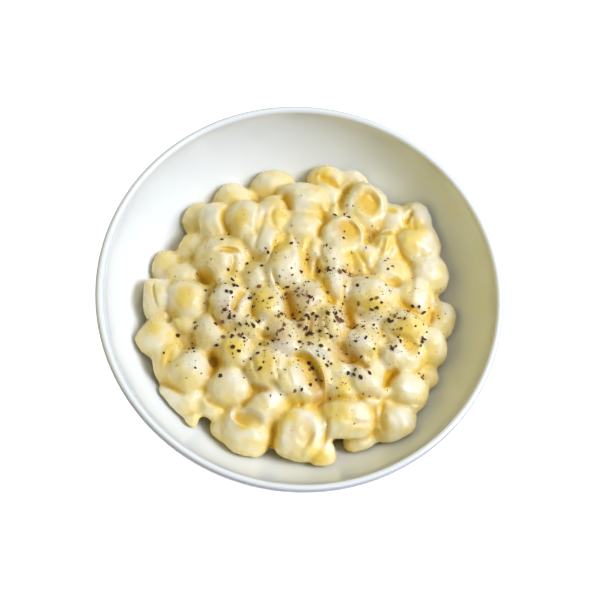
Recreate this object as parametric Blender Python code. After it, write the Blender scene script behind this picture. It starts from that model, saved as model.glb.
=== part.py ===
"""Mac and cheese: cooked pasta shells in cheese sauce, heaped in a round porcelain bowl.

Metres, +Z up. The origin is the middle of the bowl's foot, on the table.
-Y is the side nearest the eye, +X is to the eye's right.
"""

import math
import random
from collections import namedtuple

import bmesh
import bpy
from mathutils import Matrix, Vector, noise
from mathutils.bvhtree import BVHTree

MM = 0.001

# Bowl
RIM_DIAMETER = 0.165
BOWL_HEIGHT = 0.058
WALL = 0.003
INNER_BOTTOM = 0.0065
BASE_THICKNESS = 0.004
WALL_CURVE = 1.75
FOOT_DIAMETER = 0.074
FOOT_WIDTH = 0.0045
BOWL_SEGMENTS = 56
WALL_STEPS = 9
LIP_STEPS = 4

# Heap of shells: the crown is a low dome, and the edge meets the wall below the rim
CROWN_HEIGHT = 0.050
CROWN_FALL = 0.010
CROWN_RADIUS = 0.062
CORE_DEPTH = 0.0065
CORE_EDGE_DROP = 0.009
CORE_EDGE_POWER = 4
CORE_LUMP = 0.0016
CORE_LUMP_SIZE = 0.011
CORE_SEGMENTS = 32
CORE_UNDER_STEPS = 5
CORE_TOP_STEPS = 7
CORE_GAP = 0.0004
SEARCH_STEP = 0.0001
EDGE_GAP = 0.0006
MIDDLE_GAP = 0.003
PRESS_STEPS = 12

# Pasta shell
SAUCE_COAT = 0.0012
SHELL_THICKNESS = 0.0031
DOME_HALF_ARC = 106.0
END_ANGLE = 88.0
TAPER = 0.55
BEND = 0.09
LIP_LEVEL = 0.8
UNEVENNESS = 0.0011
UNEVEN_SIZE = 0.013
NOISE_SEED = 5
DOME_GRID = (6, 5)
CUP_GRID = (6, 7)

# Faces left in the fused heap
HEAP_FACES = 10300
SHORTEST_EDGE = 0.000002

# Ground pepper
PEPPER_FLAKES = 54
PEPPER_LARGE = 0.0022
PEPPER_SMALL = 0.0013
PEPPER_SPREAD = (0.028, 0.017)
PEPPER_CENTRE = (0.003, -0.010)
PEPPER_REACH = 0.056
PEPPER_UNEVEN = (0.75, 1.15)
PEPPER_FLATNESS = 0.6
PEPPER_SEED = 7

# Colours are linear RGB, angles are in degrees
PORCELAIN_COLOUR = (0.80, 0.81, 0.78)
SAUCE_COLOUR = (0.82, 0.66, 0.33)
BOWL_SHARP_ANGLE = 40
HEAP_SHARP_ANGLE = 50

INNER_RIM = RIM_DIAMETER / 2 - WALL
WALL_TOP = BOWL_HEIGHT - WALL / 2
FOOT_RADIUS = FOOT_DIAMETER / 2

# Shells that lie mouth down: where the middle lies (mm from the bowl's axis), where the long
# axis points (degrees from +X), how far it is rolled over, its length and width without sauce
# (mm), and how far its top stands above the crown (mm)
Dome = namedtuple("Dome", "x y heading roll length width lift")
DOMES = [Dome(*row) for row in (
    # Far side
    (14, 63, 12, 10, 15, 12, -1.5), (2, 61, 10, -10, 16, 11, -2.5), (-21, 54, 35, 0, 17, 13, -4.5),
    (-7, 46.5, 15, -25, 19, 16, 1.5), (3, 53, -20, 0, 14, 12, -3), (33, 47, 60, 20, 14, 13, 0),
    (43, 51, 75, -20, 15, 15, 2.5), (-36, 44, -40, 0, 16, 13, -4.5), (-4, 33, 60, 0, 17, 14, -0.5),
    # Right side
    (45.5, 37.5, 45, 25, 20, 17, 3), (51, 26, -60, 0, 17, 15, 1.5), (46.5, 13, -30, -15, 18, 15, 1),
    (59, 8, 80, 0, 15, 14, -1.5), (32, 34, 75, 30, 16, 12, -0.5), (24, 26, 50, 0, 13, 12, -1.5),
    (35, 22, 10, -20, 16, 13, -0.5), (29, 8, -20, 15, 21, 16, 2), (13, 10, -80, 20, 14, 12, -0.5),
    (10, 21, -20, 0, 15, 10, -0.5), (45, -2, -25, 20, 18, 15, 2), (56, -5, -70, 0, 17, 14, 0.5),
    (57, -17, 10, 0, 10, 9, -3), (50, -26, -15, -15, 18, 15, 2), (49, -41, 30, 0, 18, 18, 1.5),
    (37, -50, 20, 0, 13, 10, -4),
    # Middle
    (3, 1, -15, 15, 18, 16, 0.5), (-9, 13, -72, -15, 23, 16, 2.5), (-12, -5, 20, 0, 15, 15, 1.5),
    (29, -11, 25, -20, 15, 14, 0), (36, -24, -75, 0, 17, 9, -1), (10, -19, -15, 0, 19, 11, 0),
    (-4, -18, -50, 20, 16, 14, 1), (-18, -16, 0, 0, 13, 11, 0.5), (6, -10, 75, 0, 16, 12, -0.5),
    (15, -8, -75, -25, 17, 11, 1), (-18, 6, -35, 0, 16, 14, -1),
    # Left side
    (-28.5, 31, 75, -10, 18, 17, 3), (-18, 36, 55, 15, 17, 15, 0.5), (-19, 24, 65, 0, 15, 13, 1),
    (-48, 18, 85, 0, 14, 11, -5), (-50, 4, 10, 0, 15, 11, -4), (-45.5, -7.5, -10, 20, 17, 16, 2),
    (-48, 33, 60, 0, 15, 12, -5), (-57, 9, 80, 0, 13, 10, -6),
    (-43, -20, 60, 0, 13, 11, -5), (-55, -25, -35, 0, 15, 14, 1.5), (-49, -34, -58, -20, 18, 13, 1),
    (-38.5, -36.5, -50, 0, 16, 16, 3), (-33, -19.5, -55, 20, 17, 12, 0.5),
    # Near side
    (-21, -26, 20, 0, 13, 13, 1), (-21, -39, -35, -15, 18, 15, 0.5), (-7.5, -30, -65, 0, 16, 16, 2.5),
    (1, -33.5, -65, 0, 16, 9, 1), (-46, -47, -38, 15, 18, 12, -1), (-34, -52, 5, 0, 17, 13, -1),
    (-22, -57, -30, 0, 14, 11, -3.5), (-4, -45, 45, 15, 18, 13, 1),
    (22, -57, -60, 0, 13, 11, -1), (27, -43, 12, -20, 21, 15, 2), (24.5, -33, -40, 0, 14, 10, 0),
    (33, -28, -38, 20, 19, 12, 2.5),
)]

# Shells whose mouth shows, with the same columns (rolled 180 is mouth up) and the angle from
# the back to each lip: a small one is a wide mouth, a large one a slit
Cup = namedtuple("Cup", "x y heading roll length width lift half_arc")
CUPS = [Cup(*row) for row in (
    (19.5, 51, 80, 184, 20, 18, 2.5, 128), (12.5, 32, 60, 190, 17, 17, 1.5, 132),
    (-39, 29, 105, 218, 17, 15, 0.5, 125), (-34, 13, -8, 176, 21, 18, 1, 146),
    (-57, -8, -80, 132, 17, 14, 0.5, 125), (-26.5, -9, 78, 190, 19, 17, 2.5, 138),
    (46, -13, -10, 196, 16, 16, 2.5, 132), (-10, -56, -8, 155, 19, 17, 1, 128),
    (10.5, -53, 75, 205, 21, 19, 3, 156), (11, -31, -58, 184, 21, 15, 0.5, 116),
)]


def clear_scene():
    """Start from nothing."""
    for item in list(bpy.data.objects):
        bpy.data.objects.remove(item, do_unlink=True)


def make_material(name, colour, roughness):
    """A plain Principled material; colour is linear RGB."""
    material = bpy.data.materials.new(name)
    material.use_nodes = True
    shader = material.node_tree.nodes["Principled BSDF"]
    shader.inputs["Base Color"].default_value = (*colour, 1.0)
    shader.inputs["Roughness"].default_value = roughness
    shader.inputs["Metallic"].default_value = 0.0
    return material


def make_object(name, verts, faces, collection=None):
    """A mesh object with its faces pointing out."""
    mesh = bpy.data.meshes.new(name)
    mesh.from_pydata([tuple(v) for v in verts], [], faces)
    shape = bmesh.new()
    shape.from_mesh(mesh)
    bmesh.ops.triangulate(shape, faces=shape.faces)
    bmesh.ops.recalc_face_normals(shape, faces=shape.faces)
    shape.to_mesh(mesh)
    shape.free()
    item = bpy.data.objects.new(name, mesh)
    (collection or bpy.context.scene.collection).objects.link(item)
    return item


def wall_height(radius_share, depth):
    """Height of a bowl-shaped curve at a share of its rim radius."""
    return WALL_TOP - depth * (1.0 - radius_share ** 2) ** (1.0 / WALL_CURVE)


def inside_wall():
    """The bowl's inside from its middle up to the lip, as (radius, height) points."""
    shares = [math.sin(math.radians(90.0) * i / WALL_STEPS) for i in range(WALL_STEPS + 1)]
    return [(INNER_RIM * share, wall_height(share, WALL_TOP - INNER_BOTTOM)) for share in shares]


def inner_radius(z):
    """Distance from the axis to the flats of the bowl's inside wall at height z."""
    flats = math.cos(math.pi / BOWL_SEGMENTS)
    points = inside_wall()
    for (low_radius, low_z), (high_radius, high_z) in zip(points, points[1:]):
        if z <= high_z:
            share = max(0.0, (z - low_z) / (high_z - low_z))
            return flats * (low_radius + (high_radius - low_radius) * share)
    return flats * INNER_RIM


def turned(name, profile, segments):
    """A closed solid turned round Z; the profile's first and last points are on the axis."""
    verts = [(0.0, 0.0, profile[0][1])]
    for radius, z in profile[1:-1]:
        for i in range(segments):
            angle = 2.0 * math.pi * i / segments
            verts.append((radius * math.cos(angle), radius * math.sin(angle), z))
    last = len(verts)
    verts.append((0.0, 0.0, profile[-1][1]))
    faces = ring_faces(len(profile) - 2, segments, last)
    return make_object(name, verts, faces)


def ring_faces(rings, segments, last):
    """Faces of stacked rings that start at vertex 1, closed by vertex 0 and vertex last."""
    faces = []
    for i in range(segments):
        j = (i + 1) % segments
        faces.append((0, 1 + i, 1 + j))
        for ring in range(rings - 1):
            low = 1 + ring * segments
            high = low + segments
            faces.append((low + i, high + i, high + j, low + j))
        top = 1 + (rings - 1) * segments
        faces.append((top + i, last, top + j))
    return faces


def bowl_profile():
    """Inside from the middle up, round the lip, down the outside and under the foot."""
    outer_rim = RIM_DIAMETER / 2
    outer_depth = WALL_TOP - INNER_BOTTOM + BASE_THICKNESS
    profile = inside_wall()
    lip = WALL / 2
    for i in range(1, LIP_STEPS):
        angle = math.pi * (1.0 - i / LIP_STEPS)
        profile.append((outer_rim - lip + lip * math.cos(angle), WALL_TOP + lip * math.sin(angle)))
    foot_turn = math.asin(FOOT_RADIUS / outer_rim)
    steps = WALL_STEPS - 2
    for i in range(steps + 1):
        angle = math.radians(90.0) + (foot_turn - math.radians(90.0)) * i / steps
        share = math.sin(angle)
        profile.append((outer_rim * share, wall_height(share, outer_depth)))
    edge = FOOT_WIDTH / 4
    inside_foot = FOOT_RADIUS - FOOT_WIDTH
    under_base = INNER_BOTTOM - BASE_THICKNESS
    profile += [
        (FOOT_RADIUS, edge),
        (FOOT_RADIUS - edge, 0.0),
        (inside_foot + edge, 0.0),
        (inside_foot, edge),
        (inside_foot - edge, under_base),
        (0.0, under_base),
    ]
    return profile


def crown(x, y):
    """Height of the dome that the shells' tops follow."""
    return CROWN_HEIGHT - CROWN_FALL * (x * x + y * y) / CROWN_RADIUS ** 2


def core_top(x, y):
    """Lumpy height of the sauced pasta between the shells that show."""
    spot = Vector((x, y, 0.0)) / CORE_LUMP_SIZE
    edge_drop = CORE_EDGE_DROP * (math.hypot(x, y) / CROWN_RADIUS) ** CORE_EDGE_POWER
    return crown(x, y) - CORE_DEPTH - edge_drop + CORE_LUMP * noise.noise(spot)


def core_edge():
    """Radius and height where the core's top meets the bowl's wall."""
    radius = INNER_RIM
    while inner_radius(core_top(radius, 0.0)) - CORE_GAP < radius:
        radius -= SEARCH_STEP
    return radius


def make_core(collection):
    """The closely packed pasta under the shells that show, shaped by the bowl below."""
    edge_share = core_edge() / INNER_RIM
    verts = [(0.0, 0.0, INNER_BOTTOM + CORE_GAP)]
    rings = 0
    for i in range(1, CORE_UNDER_STEPS + 1):
        share = edge_share * math.sin(math.radians(90.0) * i / CORE_UNDER_STEPS)
        height = wall_height(share, WALL_TOP - INNER_BOTTOM) + CORE_GAP
        radius = inner_radius(height) - CORE_GAP
        for j in range(CORE_SEGMENTS):
            angle = 2.0 * math.pi * j / CORE_SEGMENTS
            verts.append((radius * math.cos(angle), radius * math.sin(angle), height))
        rings += 1
    outer = radius
    for i in range(1, CORE_TOP_STEPS):
        radius = outer * (1.0 - i / CORE_TOP_STEPS)
        for j in range(CORE_SEGMENTS):
            angle = 2.0 * math.pi * j / CORE_SEGMENTS
            x = radius * math.cos(angle)
            y = radius * math.sin(angle)
            verts.append((x, y, core_top(x, y)))
        rings += 1
    last = len(verts)
    verts.append((0.0, 0.0, core_top(0.0, 0.0)))
    return make_object("pasta_core", verts, ring_faces(rings, CORE_SEGMENTS, last), collection)


def shell_point(shell, across, around, half_arc, inset):
    """A point of a shell lying along X, mouth down; across and around run from -1 to 1."""
    turn = math.radians(END_ANGLE) * across
    full = shell.width * MM / 2 + SAUCE_COAT - inset
    radius = full * math.cos(turn) ** TAPER
    length = shell.length * MM / 2 + SAUCE_COAT - inset
    x = length * math.sin(turn) / math.sin(math.radians(END_ANGLE))
    angle = math.radians(half_arc) * around
    drop = BEND * length * math.sin(turn) ** 2
    if half_arc > DOME_HALF_ARC:
        drop = -LIP_LEVEL * math.cos(math.radians(half_arc)) * (full - radius)
    return Vector((x, radius * math.sin(angle), radius * math.cos(angle) - drop))


def shell_sheet(shell, grid, half_arc, inset):
    """Rows of points over one face of a shell."""
    columns, rows = grid
    return [
        shell_point(shell, 2.0 * i / columns - 1.0, 2.0 * j / rows - 1.0, half_arc, inset)
        for i in range(columns + 1)
        for j in range(rows + 1)
    ]


def sheet_faces(grid, start, flip):
    """Faces of one sheet of points."""
    columns, rows = grid
    stride = rows + 1
    faces = []
    for i in range(columns):
        for j in range(rows):
            a = start + i * stride + j
            face = (a, a + stride, a + stride + 1, a + 1)
            faces.append(face[::-1] if flip else face)
    return faces


def border(grid):
    """Indices round the edge of a sheet, in order."""
    columns, rows = grid
    stride = rows + 1
    loop = [j for j in range(rows)]
    loop += [i * stride + rows for i in range(columns)]
    loop += [columns * stride + j for j in range(rows, 0, -1)]
    loop += [i * stride for i in range(columns, 0, -1)]
    return loop


def dome_shape(shell):
    """A shell that lies mouth down: its back, closed flat underneath."""
    verts = shell_sheet(shell, DOME_GRID, DOME_HALF_ARC, 0.0)
    faces = sheet_faces(DOME_GRID, 0, False)
    columns, rows = DOME_GRID
    stride = rows + 1
    for i in range(columns):
        a = i * stride
        faces.append((a, a + rows, a + stride + rows, a + stride))
    faces.append(tuple(range(rows, -1, -1)))
    faces.append(tuple(columns * stride + j for j in range(rows + 1)))
    return verts, faces


def cup_shape(shell):
    """A shell whose mouth shows: its outside, its inside and the lip between them."""
    outside = shell_sheet(shell, CUP_GRID, shell.half_arc, 0.0)
    inside = shell_sheet(shell, CUP_GRID, shell.half_arc, SHELL_THICKNESS)
    count = len(outside)
    faces = sheet_faces(CUP_GRID, 0, False) + sheet_faces(CUP_GRID, count, True)
    loop = border(CUP_GRID)
    for a, b in zip(loop, loop[1:] + loop[:1]):
        faces.append((a, b, count + b, count + a))
    return outside + inside, faces


def lean_with_crown(x, y):
    """Rotation that tips a shell so that it lies along the dome."""
    slope = 2.0 * CROWN_FALL / CROWN_RADIUS ** 2
    normal = Vector((slope * x, slope * y, 1.0)).normalized()
    return Vector((0.0, 0.0, 1.0)).rotation_difference(normal).to_matrix()


def placed(shell, verts):
    """Turn a shell as it lies in the heap and set its highest point at its height."""
    x = shell.x * MM
    y = shell.y * MM
    roll = Matrix.Rotation(math.radians(shell.roll), 3, "X")
    heading = Matrix.Rotation(math.radians(shell.heading), 3, "Z")
    turn = lean_with_crown(x, y) @ heading @ roll
    points = [turn @ v for v in verts]
    top = max(p.z for p in points)
    shift = Vector((x, y, crown(x, y) + shell.lift * MM - top))
    return [p + shift for p in points]


def softened(point):
    """Push a point a little off the regular form, as soft pasta and sauce are uneven."""
    return point + UNEVENNESS * noise.noise_vector(point / UNEVEN_SIZE)


def is_clear(point, gap):
    """Whether a point is inside the bowl by at least the gap."""
    return math.hypot(point.x, point.y) <= inner_radius(point.z) - gap


def drawn_in(points):
    """Move a shell inward until its middle is well clear of the bowl's wall."""
    middle = sum(points, Vector()) / len(points)
    distance = math.hypot(middle.x, middle.y)
    excess = distance + MIDDLE_GAP - inner_radius(middle.z)
    if excess <= 0.0:
        return points
    inward = Vector((-middle.x, -middle.y, 0.0)) / distance
    return [p + inward * excess for p in points]


def pressed_on_wall(point, middle, gap):
    """Bring a point that would cross the bowl's wall back toward its shell's middle."""
    if is_clear(point, gap):
        return point
    near = 0.0
    far = 1.0
    for _ in range(PRESS_STEPS):
        share = (near + far) / 2
        if is_clear(middle.lerp(point, share), gap):
            near = share
        else:
            far = share
    return middle.lerp(point, near)


def make_shells(collection):
    """Every shell that shows."""
    for number, shell in enumerate(DOMES + CUPS):
        is_dome = shell in DOMES
        verts, faces = dome_shape(shell) if is_dome else cup_shape(shell)
        outside = len(verts) if is_dome else len(verts) // 2
        points = drawn_in([softened(v) for v in placed(shell, verts)])
        middle = sum(points, Vector()) / len(points)
        inner_gap = EDGE_GAP + SHELL_THICKNESS / 2
        points = [
            pressed_on_wall(v, middle, EDGE_GAP if i < outside else inner_gap)
            for i, v in enumerate(points)
        ]
        make_object(f"pasta_shell_{number}", points, faces, collection)


def surface_of(collection):
    """A tree of all the faces in the collection, for dropping pepper on."""
    verts = []
    faces = []
    for item in collection.objects:
        start = len(verts)
        verts += [v.co.copy() for v in item.data.vertices]
        faces += [tuple(start + k for k in p.vertices) for p in item.data.polygons]
    return BVHTree.FromPolygons(verts, faces)


def make_pepper(collection):
    """The largest flakes of ground pepper, half sunk in the sauce."""
    draw = random.Random(PEPPER_SEED)
    tree = surface_of(collection)
    made = 0
    while made < PEPPER_FLAKES:
        x = draw.gauss(PEPPER_CENTRE[0], PEPPER_SPREAD[0])
        y = draw.gauss(PEPPER_CENTRE[1], PEPPER_SPREAD[1])
        if math.hypot(x, y) > PEPPER_REACH:
            continue
        spot = tree.ray_cast(Vector((x, y, BOWL_HEIGHT * 2)), Vector((0.0, 0.0, -1.0)))[0]
        share = made / PEPPER_FLAKES
        size = PEPPER_LARGE + (PEPPER_SMALL - PEPPER_LARGE) * share
        shape = bmesh.new()
        bmesh.ops.create_icosphere(shape, subdivisions=1, radius=size / 2)
        for v in shape.verts:
            v.co *= draw.uniform(*PEPPER_UNEVEN)
            v.co.z *= PEPPER_FLATNESS
        turn = Matrix.Rotation(draw.uniform(0.0, math.pi), 3, "Z")
        mesh = bpy.data.meshes.new(f"pepper_{made}")
        shape.to_mesh(mesh)
        shape.free()
        mesh.transform(Matrix.Translation(spot) @ turn.to_4x4())
        collection.objects.link(bpy.data.objects.new(mesh.name, mesh))
        made += 1


def fuse(name, collection):
    """One closed solid from everything in the collection."""
    base = collection.objects[0]
    base.name = name
    collection.objects.unlink(base)
    bpy.context.scene.collection.objects.link(base)
    union = base.modifiers.new("fuse", "BOOLEAN")
    union.operation = "UNION"
    union.operand_type = "COLLECTION"
    union.collection = collection
    union.solver = "EXACT"
    bpy.context.view_layer.update()
    evaluated = base.evaluated_get(bpy.context.evaluated_depsgraph_get())
    mesh = bpy.data.meshes.new_from_object(evaluated)
    base.modifiers.clear()
    base.data = mesh
    return base


def even_out(item, faces):
    """Fewer and evener faces: the slivers along the joins go first."""
    thin = item.modifiers.new("even_out", "DECIMATE")
    thin.ratio = min(1.0, faces / len(item.data.polygons))
    thin.use_collapse_triangulate = True
    bpy.context.view_layer.update()
    evaluated = item.evaluated_get(bpy.context.evaluated_depsgraph_get())
    mesh = bpy.data.meshes.new_from_object(evaluated)
    item.modifiers.clear()
    item.data = mesh
    shape = bmesh.new()
    shape.from_mesh(mesh)
    bmesh.ops.dissolve_degenerate(shape, edges=shape.edges, dist=SHORTEST_EDGE)
    bmesh.ops.triangulate(shape, faces=shape.faces)
    shape.to_mesh(mesh)
    shape.free()


def keep_outer_body(item):
    """Fill the hollows that fusing sealed and drop loose scraps: keep the largest body."""
    shape = bmesh.new()
    shape.from_mesh(item.data)
    bmesh.ops.triangulate(shape, faces=shape.faces)
    seen = set()
    bodies = []
    for first in shape.faces:
        if first in seen:
            continue
        seen.add(first)
        body = [first]
        for face in body:
            for edge in face.edges:
                for other in edge.link_faces:
                    if other not in seen:
                        seen.add(other)
                        body.append(other)
        bodies.append(body)
    bodies.sort(key=len)
    scraps = [face for body in bodies[:-1] for face in body]
    bmesh.ops.delete(shape, geom=scraps, context="FACES")
    shape.to_mesh(item.data)
    shape.free()


def smooth(item, angle):
    """Shade smooth, with edges sharper than the angle kept crisp."""
    item.data.shade_smooth()
    item.data.set_sharp_from_angle(angle=math.radians(angle))


def remove_collection(collection):
    """Take away the pieces that were fused."""
    for item in list(collection.objects):
        bpy.data.objects.remove(item, do_unlink=True)
    bpy.data.collections.remove(collection)


def make_bowl():
    """The white porcelain bowl."""
    bowl = turned("bowl", bowl_profile(), BOWL_SEGMENTS)
    bowl.data.materials.append(make_material("white_porcelain", PORCELAIN_COLOUR, 0.15))
    smooth(bowl, BOWL_SHARP_ANGLE)


def make_mac_and_cheese():
    """The heap: core, shells and pepper fused into one body."""
    pieces = bpy.data.collections.new("pieces")
    bpy.context.scene.collection.children.link(pieces)
    make_core(pieces)
    make_shells(pieces)
    make_pepper(pieces)
    heap = fuse("mac_and_cheese", pieces)
    remove_collection(pieces)
    keep_outer_body(heap)
    even_out(heap, HEAP_FACES)
    heap.data.materials.clear()
    heap.data.materials.append(make_material("cheese_sauce", SAUCE_COLOUR, 0.35))
    smooth(heap, HEAP_SHARP_ANGLE)


def main():
    clear_scene()
    noise.seed_set(NOISE_SEED)
    make_bowl()
    make_mac_and_cheese()


main()
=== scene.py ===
"""Mac and cheese: small pasta shells in cheese sauce with ground pepper, in a white porcelain bowl.

The bowl and the heap are made again at a fine scale, in the places of the solids that they
stand for. Sizes in the tables are in millimetres, everywhere else in metres.
"""

import math
import random
from collections import namedtuple

import bmesh
import bpy
import numpy as np
from mathutils import Matrix, Vector, noise
from mathutils.bvhtree import BVHTree


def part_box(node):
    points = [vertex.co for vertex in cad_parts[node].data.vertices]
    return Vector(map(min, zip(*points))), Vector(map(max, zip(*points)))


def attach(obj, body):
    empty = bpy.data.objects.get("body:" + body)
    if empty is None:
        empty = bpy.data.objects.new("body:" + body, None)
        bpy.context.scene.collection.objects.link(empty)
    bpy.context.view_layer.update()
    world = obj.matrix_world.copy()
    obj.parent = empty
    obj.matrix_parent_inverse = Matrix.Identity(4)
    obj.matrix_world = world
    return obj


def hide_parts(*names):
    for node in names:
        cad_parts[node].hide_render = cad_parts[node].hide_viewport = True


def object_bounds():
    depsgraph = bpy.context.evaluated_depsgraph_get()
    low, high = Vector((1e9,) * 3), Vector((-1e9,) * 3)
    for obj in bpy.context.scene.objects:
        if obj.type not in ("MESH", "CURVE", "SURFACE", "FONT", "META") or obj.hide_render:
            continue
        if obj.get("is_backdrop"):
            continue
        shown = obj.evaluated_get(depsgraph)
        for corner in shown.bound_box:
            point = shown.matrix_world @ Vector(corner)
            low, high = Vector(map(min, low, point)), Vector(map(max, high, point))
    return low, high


bl_info = {
    "name": "Mac and Cheese",
    "version": (1, 0, 0),
    "blender": (4, 5, 0),
    "location": "3D View > Sidebar > Mac and Cheese",
    "description": "Makes a porcelain bowl of pasta shells in cheese sauce",
    "category": "Object",
}

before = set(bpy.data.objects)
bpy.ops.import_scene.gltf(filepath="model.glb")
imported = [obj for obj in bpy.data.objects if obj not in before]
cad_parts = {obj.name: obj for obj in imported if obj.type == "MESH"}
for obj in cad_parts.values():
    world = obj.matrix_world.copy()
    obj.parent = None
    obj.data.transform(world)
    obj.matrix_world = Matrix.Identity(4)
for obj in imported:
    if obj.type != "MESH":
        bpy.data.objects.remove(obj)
CAD_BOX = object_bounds()
BOWL_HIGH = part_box("bowl")[1]

MM = 0.001
RIM_RADIUS = BOWL_HIGH.x
BOWL_HEIGHT = BOWL_HIGH.z

# The crown is the dome that the tops of the shells follow
CROWN_HEIGHT = 0.050
CROWN_FALL = 0.010
CROWN_RADIUS = 0.062

# Every shell that shows: where its middle lies (mm from the bowl's axis), where its long axis
# points (degrees from +X), how far it is rolled over, its length and width without sauce (mm),
# and how far its top stands above the crown (mm). Some small ones lie on the back of a large one.
Shell = namedtuple("Shell", "x y heading roll length width lift")
SHELLS = [Shell(*row) for row in (
    # Far side
    (14, 63, 12, 10, 15, 12, -1.5), (2, 61, 10, -10, 16, 11, -2.5), (-21, 54, 35, 0, 17, 13, -4.5),
    (-7, 46.5, 15, -25, 19, 16, 1.5), (3, 53, -20, 0, 14, 12, -3), (33, 47, 60, 20, 14, 13, 0),
    (43, 51, 75, -20, 15, 15, 2.5), (-36, 44, -40, 0, 16, 13, -4.5), (-4, 33, 60, 0, 17, 14, -0.5),
    (19.5, 51, 80, 4, 21, 17, 2.5),
    # Right side
    (45.5, 37.5, 45, 25, 20, 17, 3), (51, 26, -60, 0, 17, 15, 1.5), (46.5, 13, -30, -15, 18, 15, 1),
    (59, 8, 80, 0, 15, 14, -1.5), (32, 34, 75, 20, 16, 12, -0.5), (24, 26, 50, 0, 13, 12, -1.5),
    (35, 22, 10, -20, 16, 13, -0.5), (29, 8, -20, 15, 21, 16, 2), (13, 10, -80, 20, 14, 12, -0.5),
    (10, 21, -20, 0, 15, 10, -0.5), (45, -2, -25, 20, 18, 15, 2), (56, -4.5, -70, 0, 16, 14, 0.5),
    (57.5, -17.5, 20, 0, 9.5, 8, -3.5), (50, -26, -15, -15, 18, 15, 2),
    (48.5, -41, 30, 0, 17.5, 17, 1.5), (36.4, -49.4, 12, 0, 12, 7.5, -5),
    (46, -13, -10, 16, 17, 17, 2), (43.4, -14.4, 30, 0, 10.5, 9, 2.7),
    (12.5, 32, 60, 10, 18, 17, 1.5),
    # Middle
    (3, 1, -15, 15, 18, 16, 0.5), (-9, 13, -72, -15, 23, 16, 2.5), (-12, -5, 20, 0, 15, 15, 1.5),
    (29, -11, 25, -20, 15, 14, 0), (36, -24, -75, 0, 17, 9, -1), (10, -19, -15, 0, 19, 11, 0),
    (-4, -18, -50, 20, 16, 14, 1), (-18, -16, 0, 0, 13, 11, 0.5), (6, -10, 75, 0, 16, 12, -0.5),
    (15, -8, -75, -25, 17, 11, 1), (-18, 6, -35, 0, 16, 14, -1), (10.5, -31, -58, 4, 23, 17, 0.8),
    # Left side
    (-28.5, 31, 75, -10, 18, 17, 3), (-18, 36, 55, 15, 17, 15, 0.5), (-19, 24, 65, 0, 15, 13, 1),
    (-48, 18, 85, 0, 14, 11, -5), (-50, 4, 10, 0, 15, 11, -4), (-45.5, -7.5, -10, 20, 17, 16, 2),
    (-48, 33, 60, 0, 15, 12, -5), (-57, 9, 80, 0, 13, 10, -6), (-43, -20, 60, 0, 13, 11, -5),
    (-55, -25, -35, 0, 15, 14, 1.5), (-47.8, -34, -64, -20, 16, 10, 1),
    (-38.5, -36.5, -50, 0, 16, 16, 3), (-33, -19.5, -55, 20, 17, 12, 0.5),
    (-40, 30, 105, 20, 17, 14, 0.5), (-34, 13, -8, -4, 21, 18, 1), (-57, -8, -80, -25, 17, 12, 0.5),
    (-26.5, -9, 78, 10, 20, 17, 1.9), (-29.6, -5.5, 78, 0, 13, 9.5, 2.6),
    # Near side
    (-21, -26, 20, 0, 13, 13, 1), (-21, -39, -35, -15, 18, 15, 0.5),
    (-7.5, -30, -65, 0, 16, 16, 2.5), (1, -33.5, -65, 0, 16, 9, 1), (-43, -47, -38, 15, 14, 8, -2),
    (-36, -48, 2, 0, 15, 11, -1.5), (-33, -54.5, 75, 0, 8, 3, -2.5),
    (-27, -48.5, -10, 0, 10, 8, -2), (-19, -56.8, -30, 0, 12, 10, -4),
    (-4.5, -46, 50, 15, 19, 13, 1), (21, -58, -60, 0, 12, 10, -1.5),
    (27.5, -43, 14, -20, 20, 14, 2), (24.5, -33, -40, 0, 14, 10, 0),
    (33, -28, -38, 20, 19, 12, 2.5), (-10.5, -56, -8, -8, 20, 17, 1), (10.5, -53, 75, 8, 21, 18, 3),
)]

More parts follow.
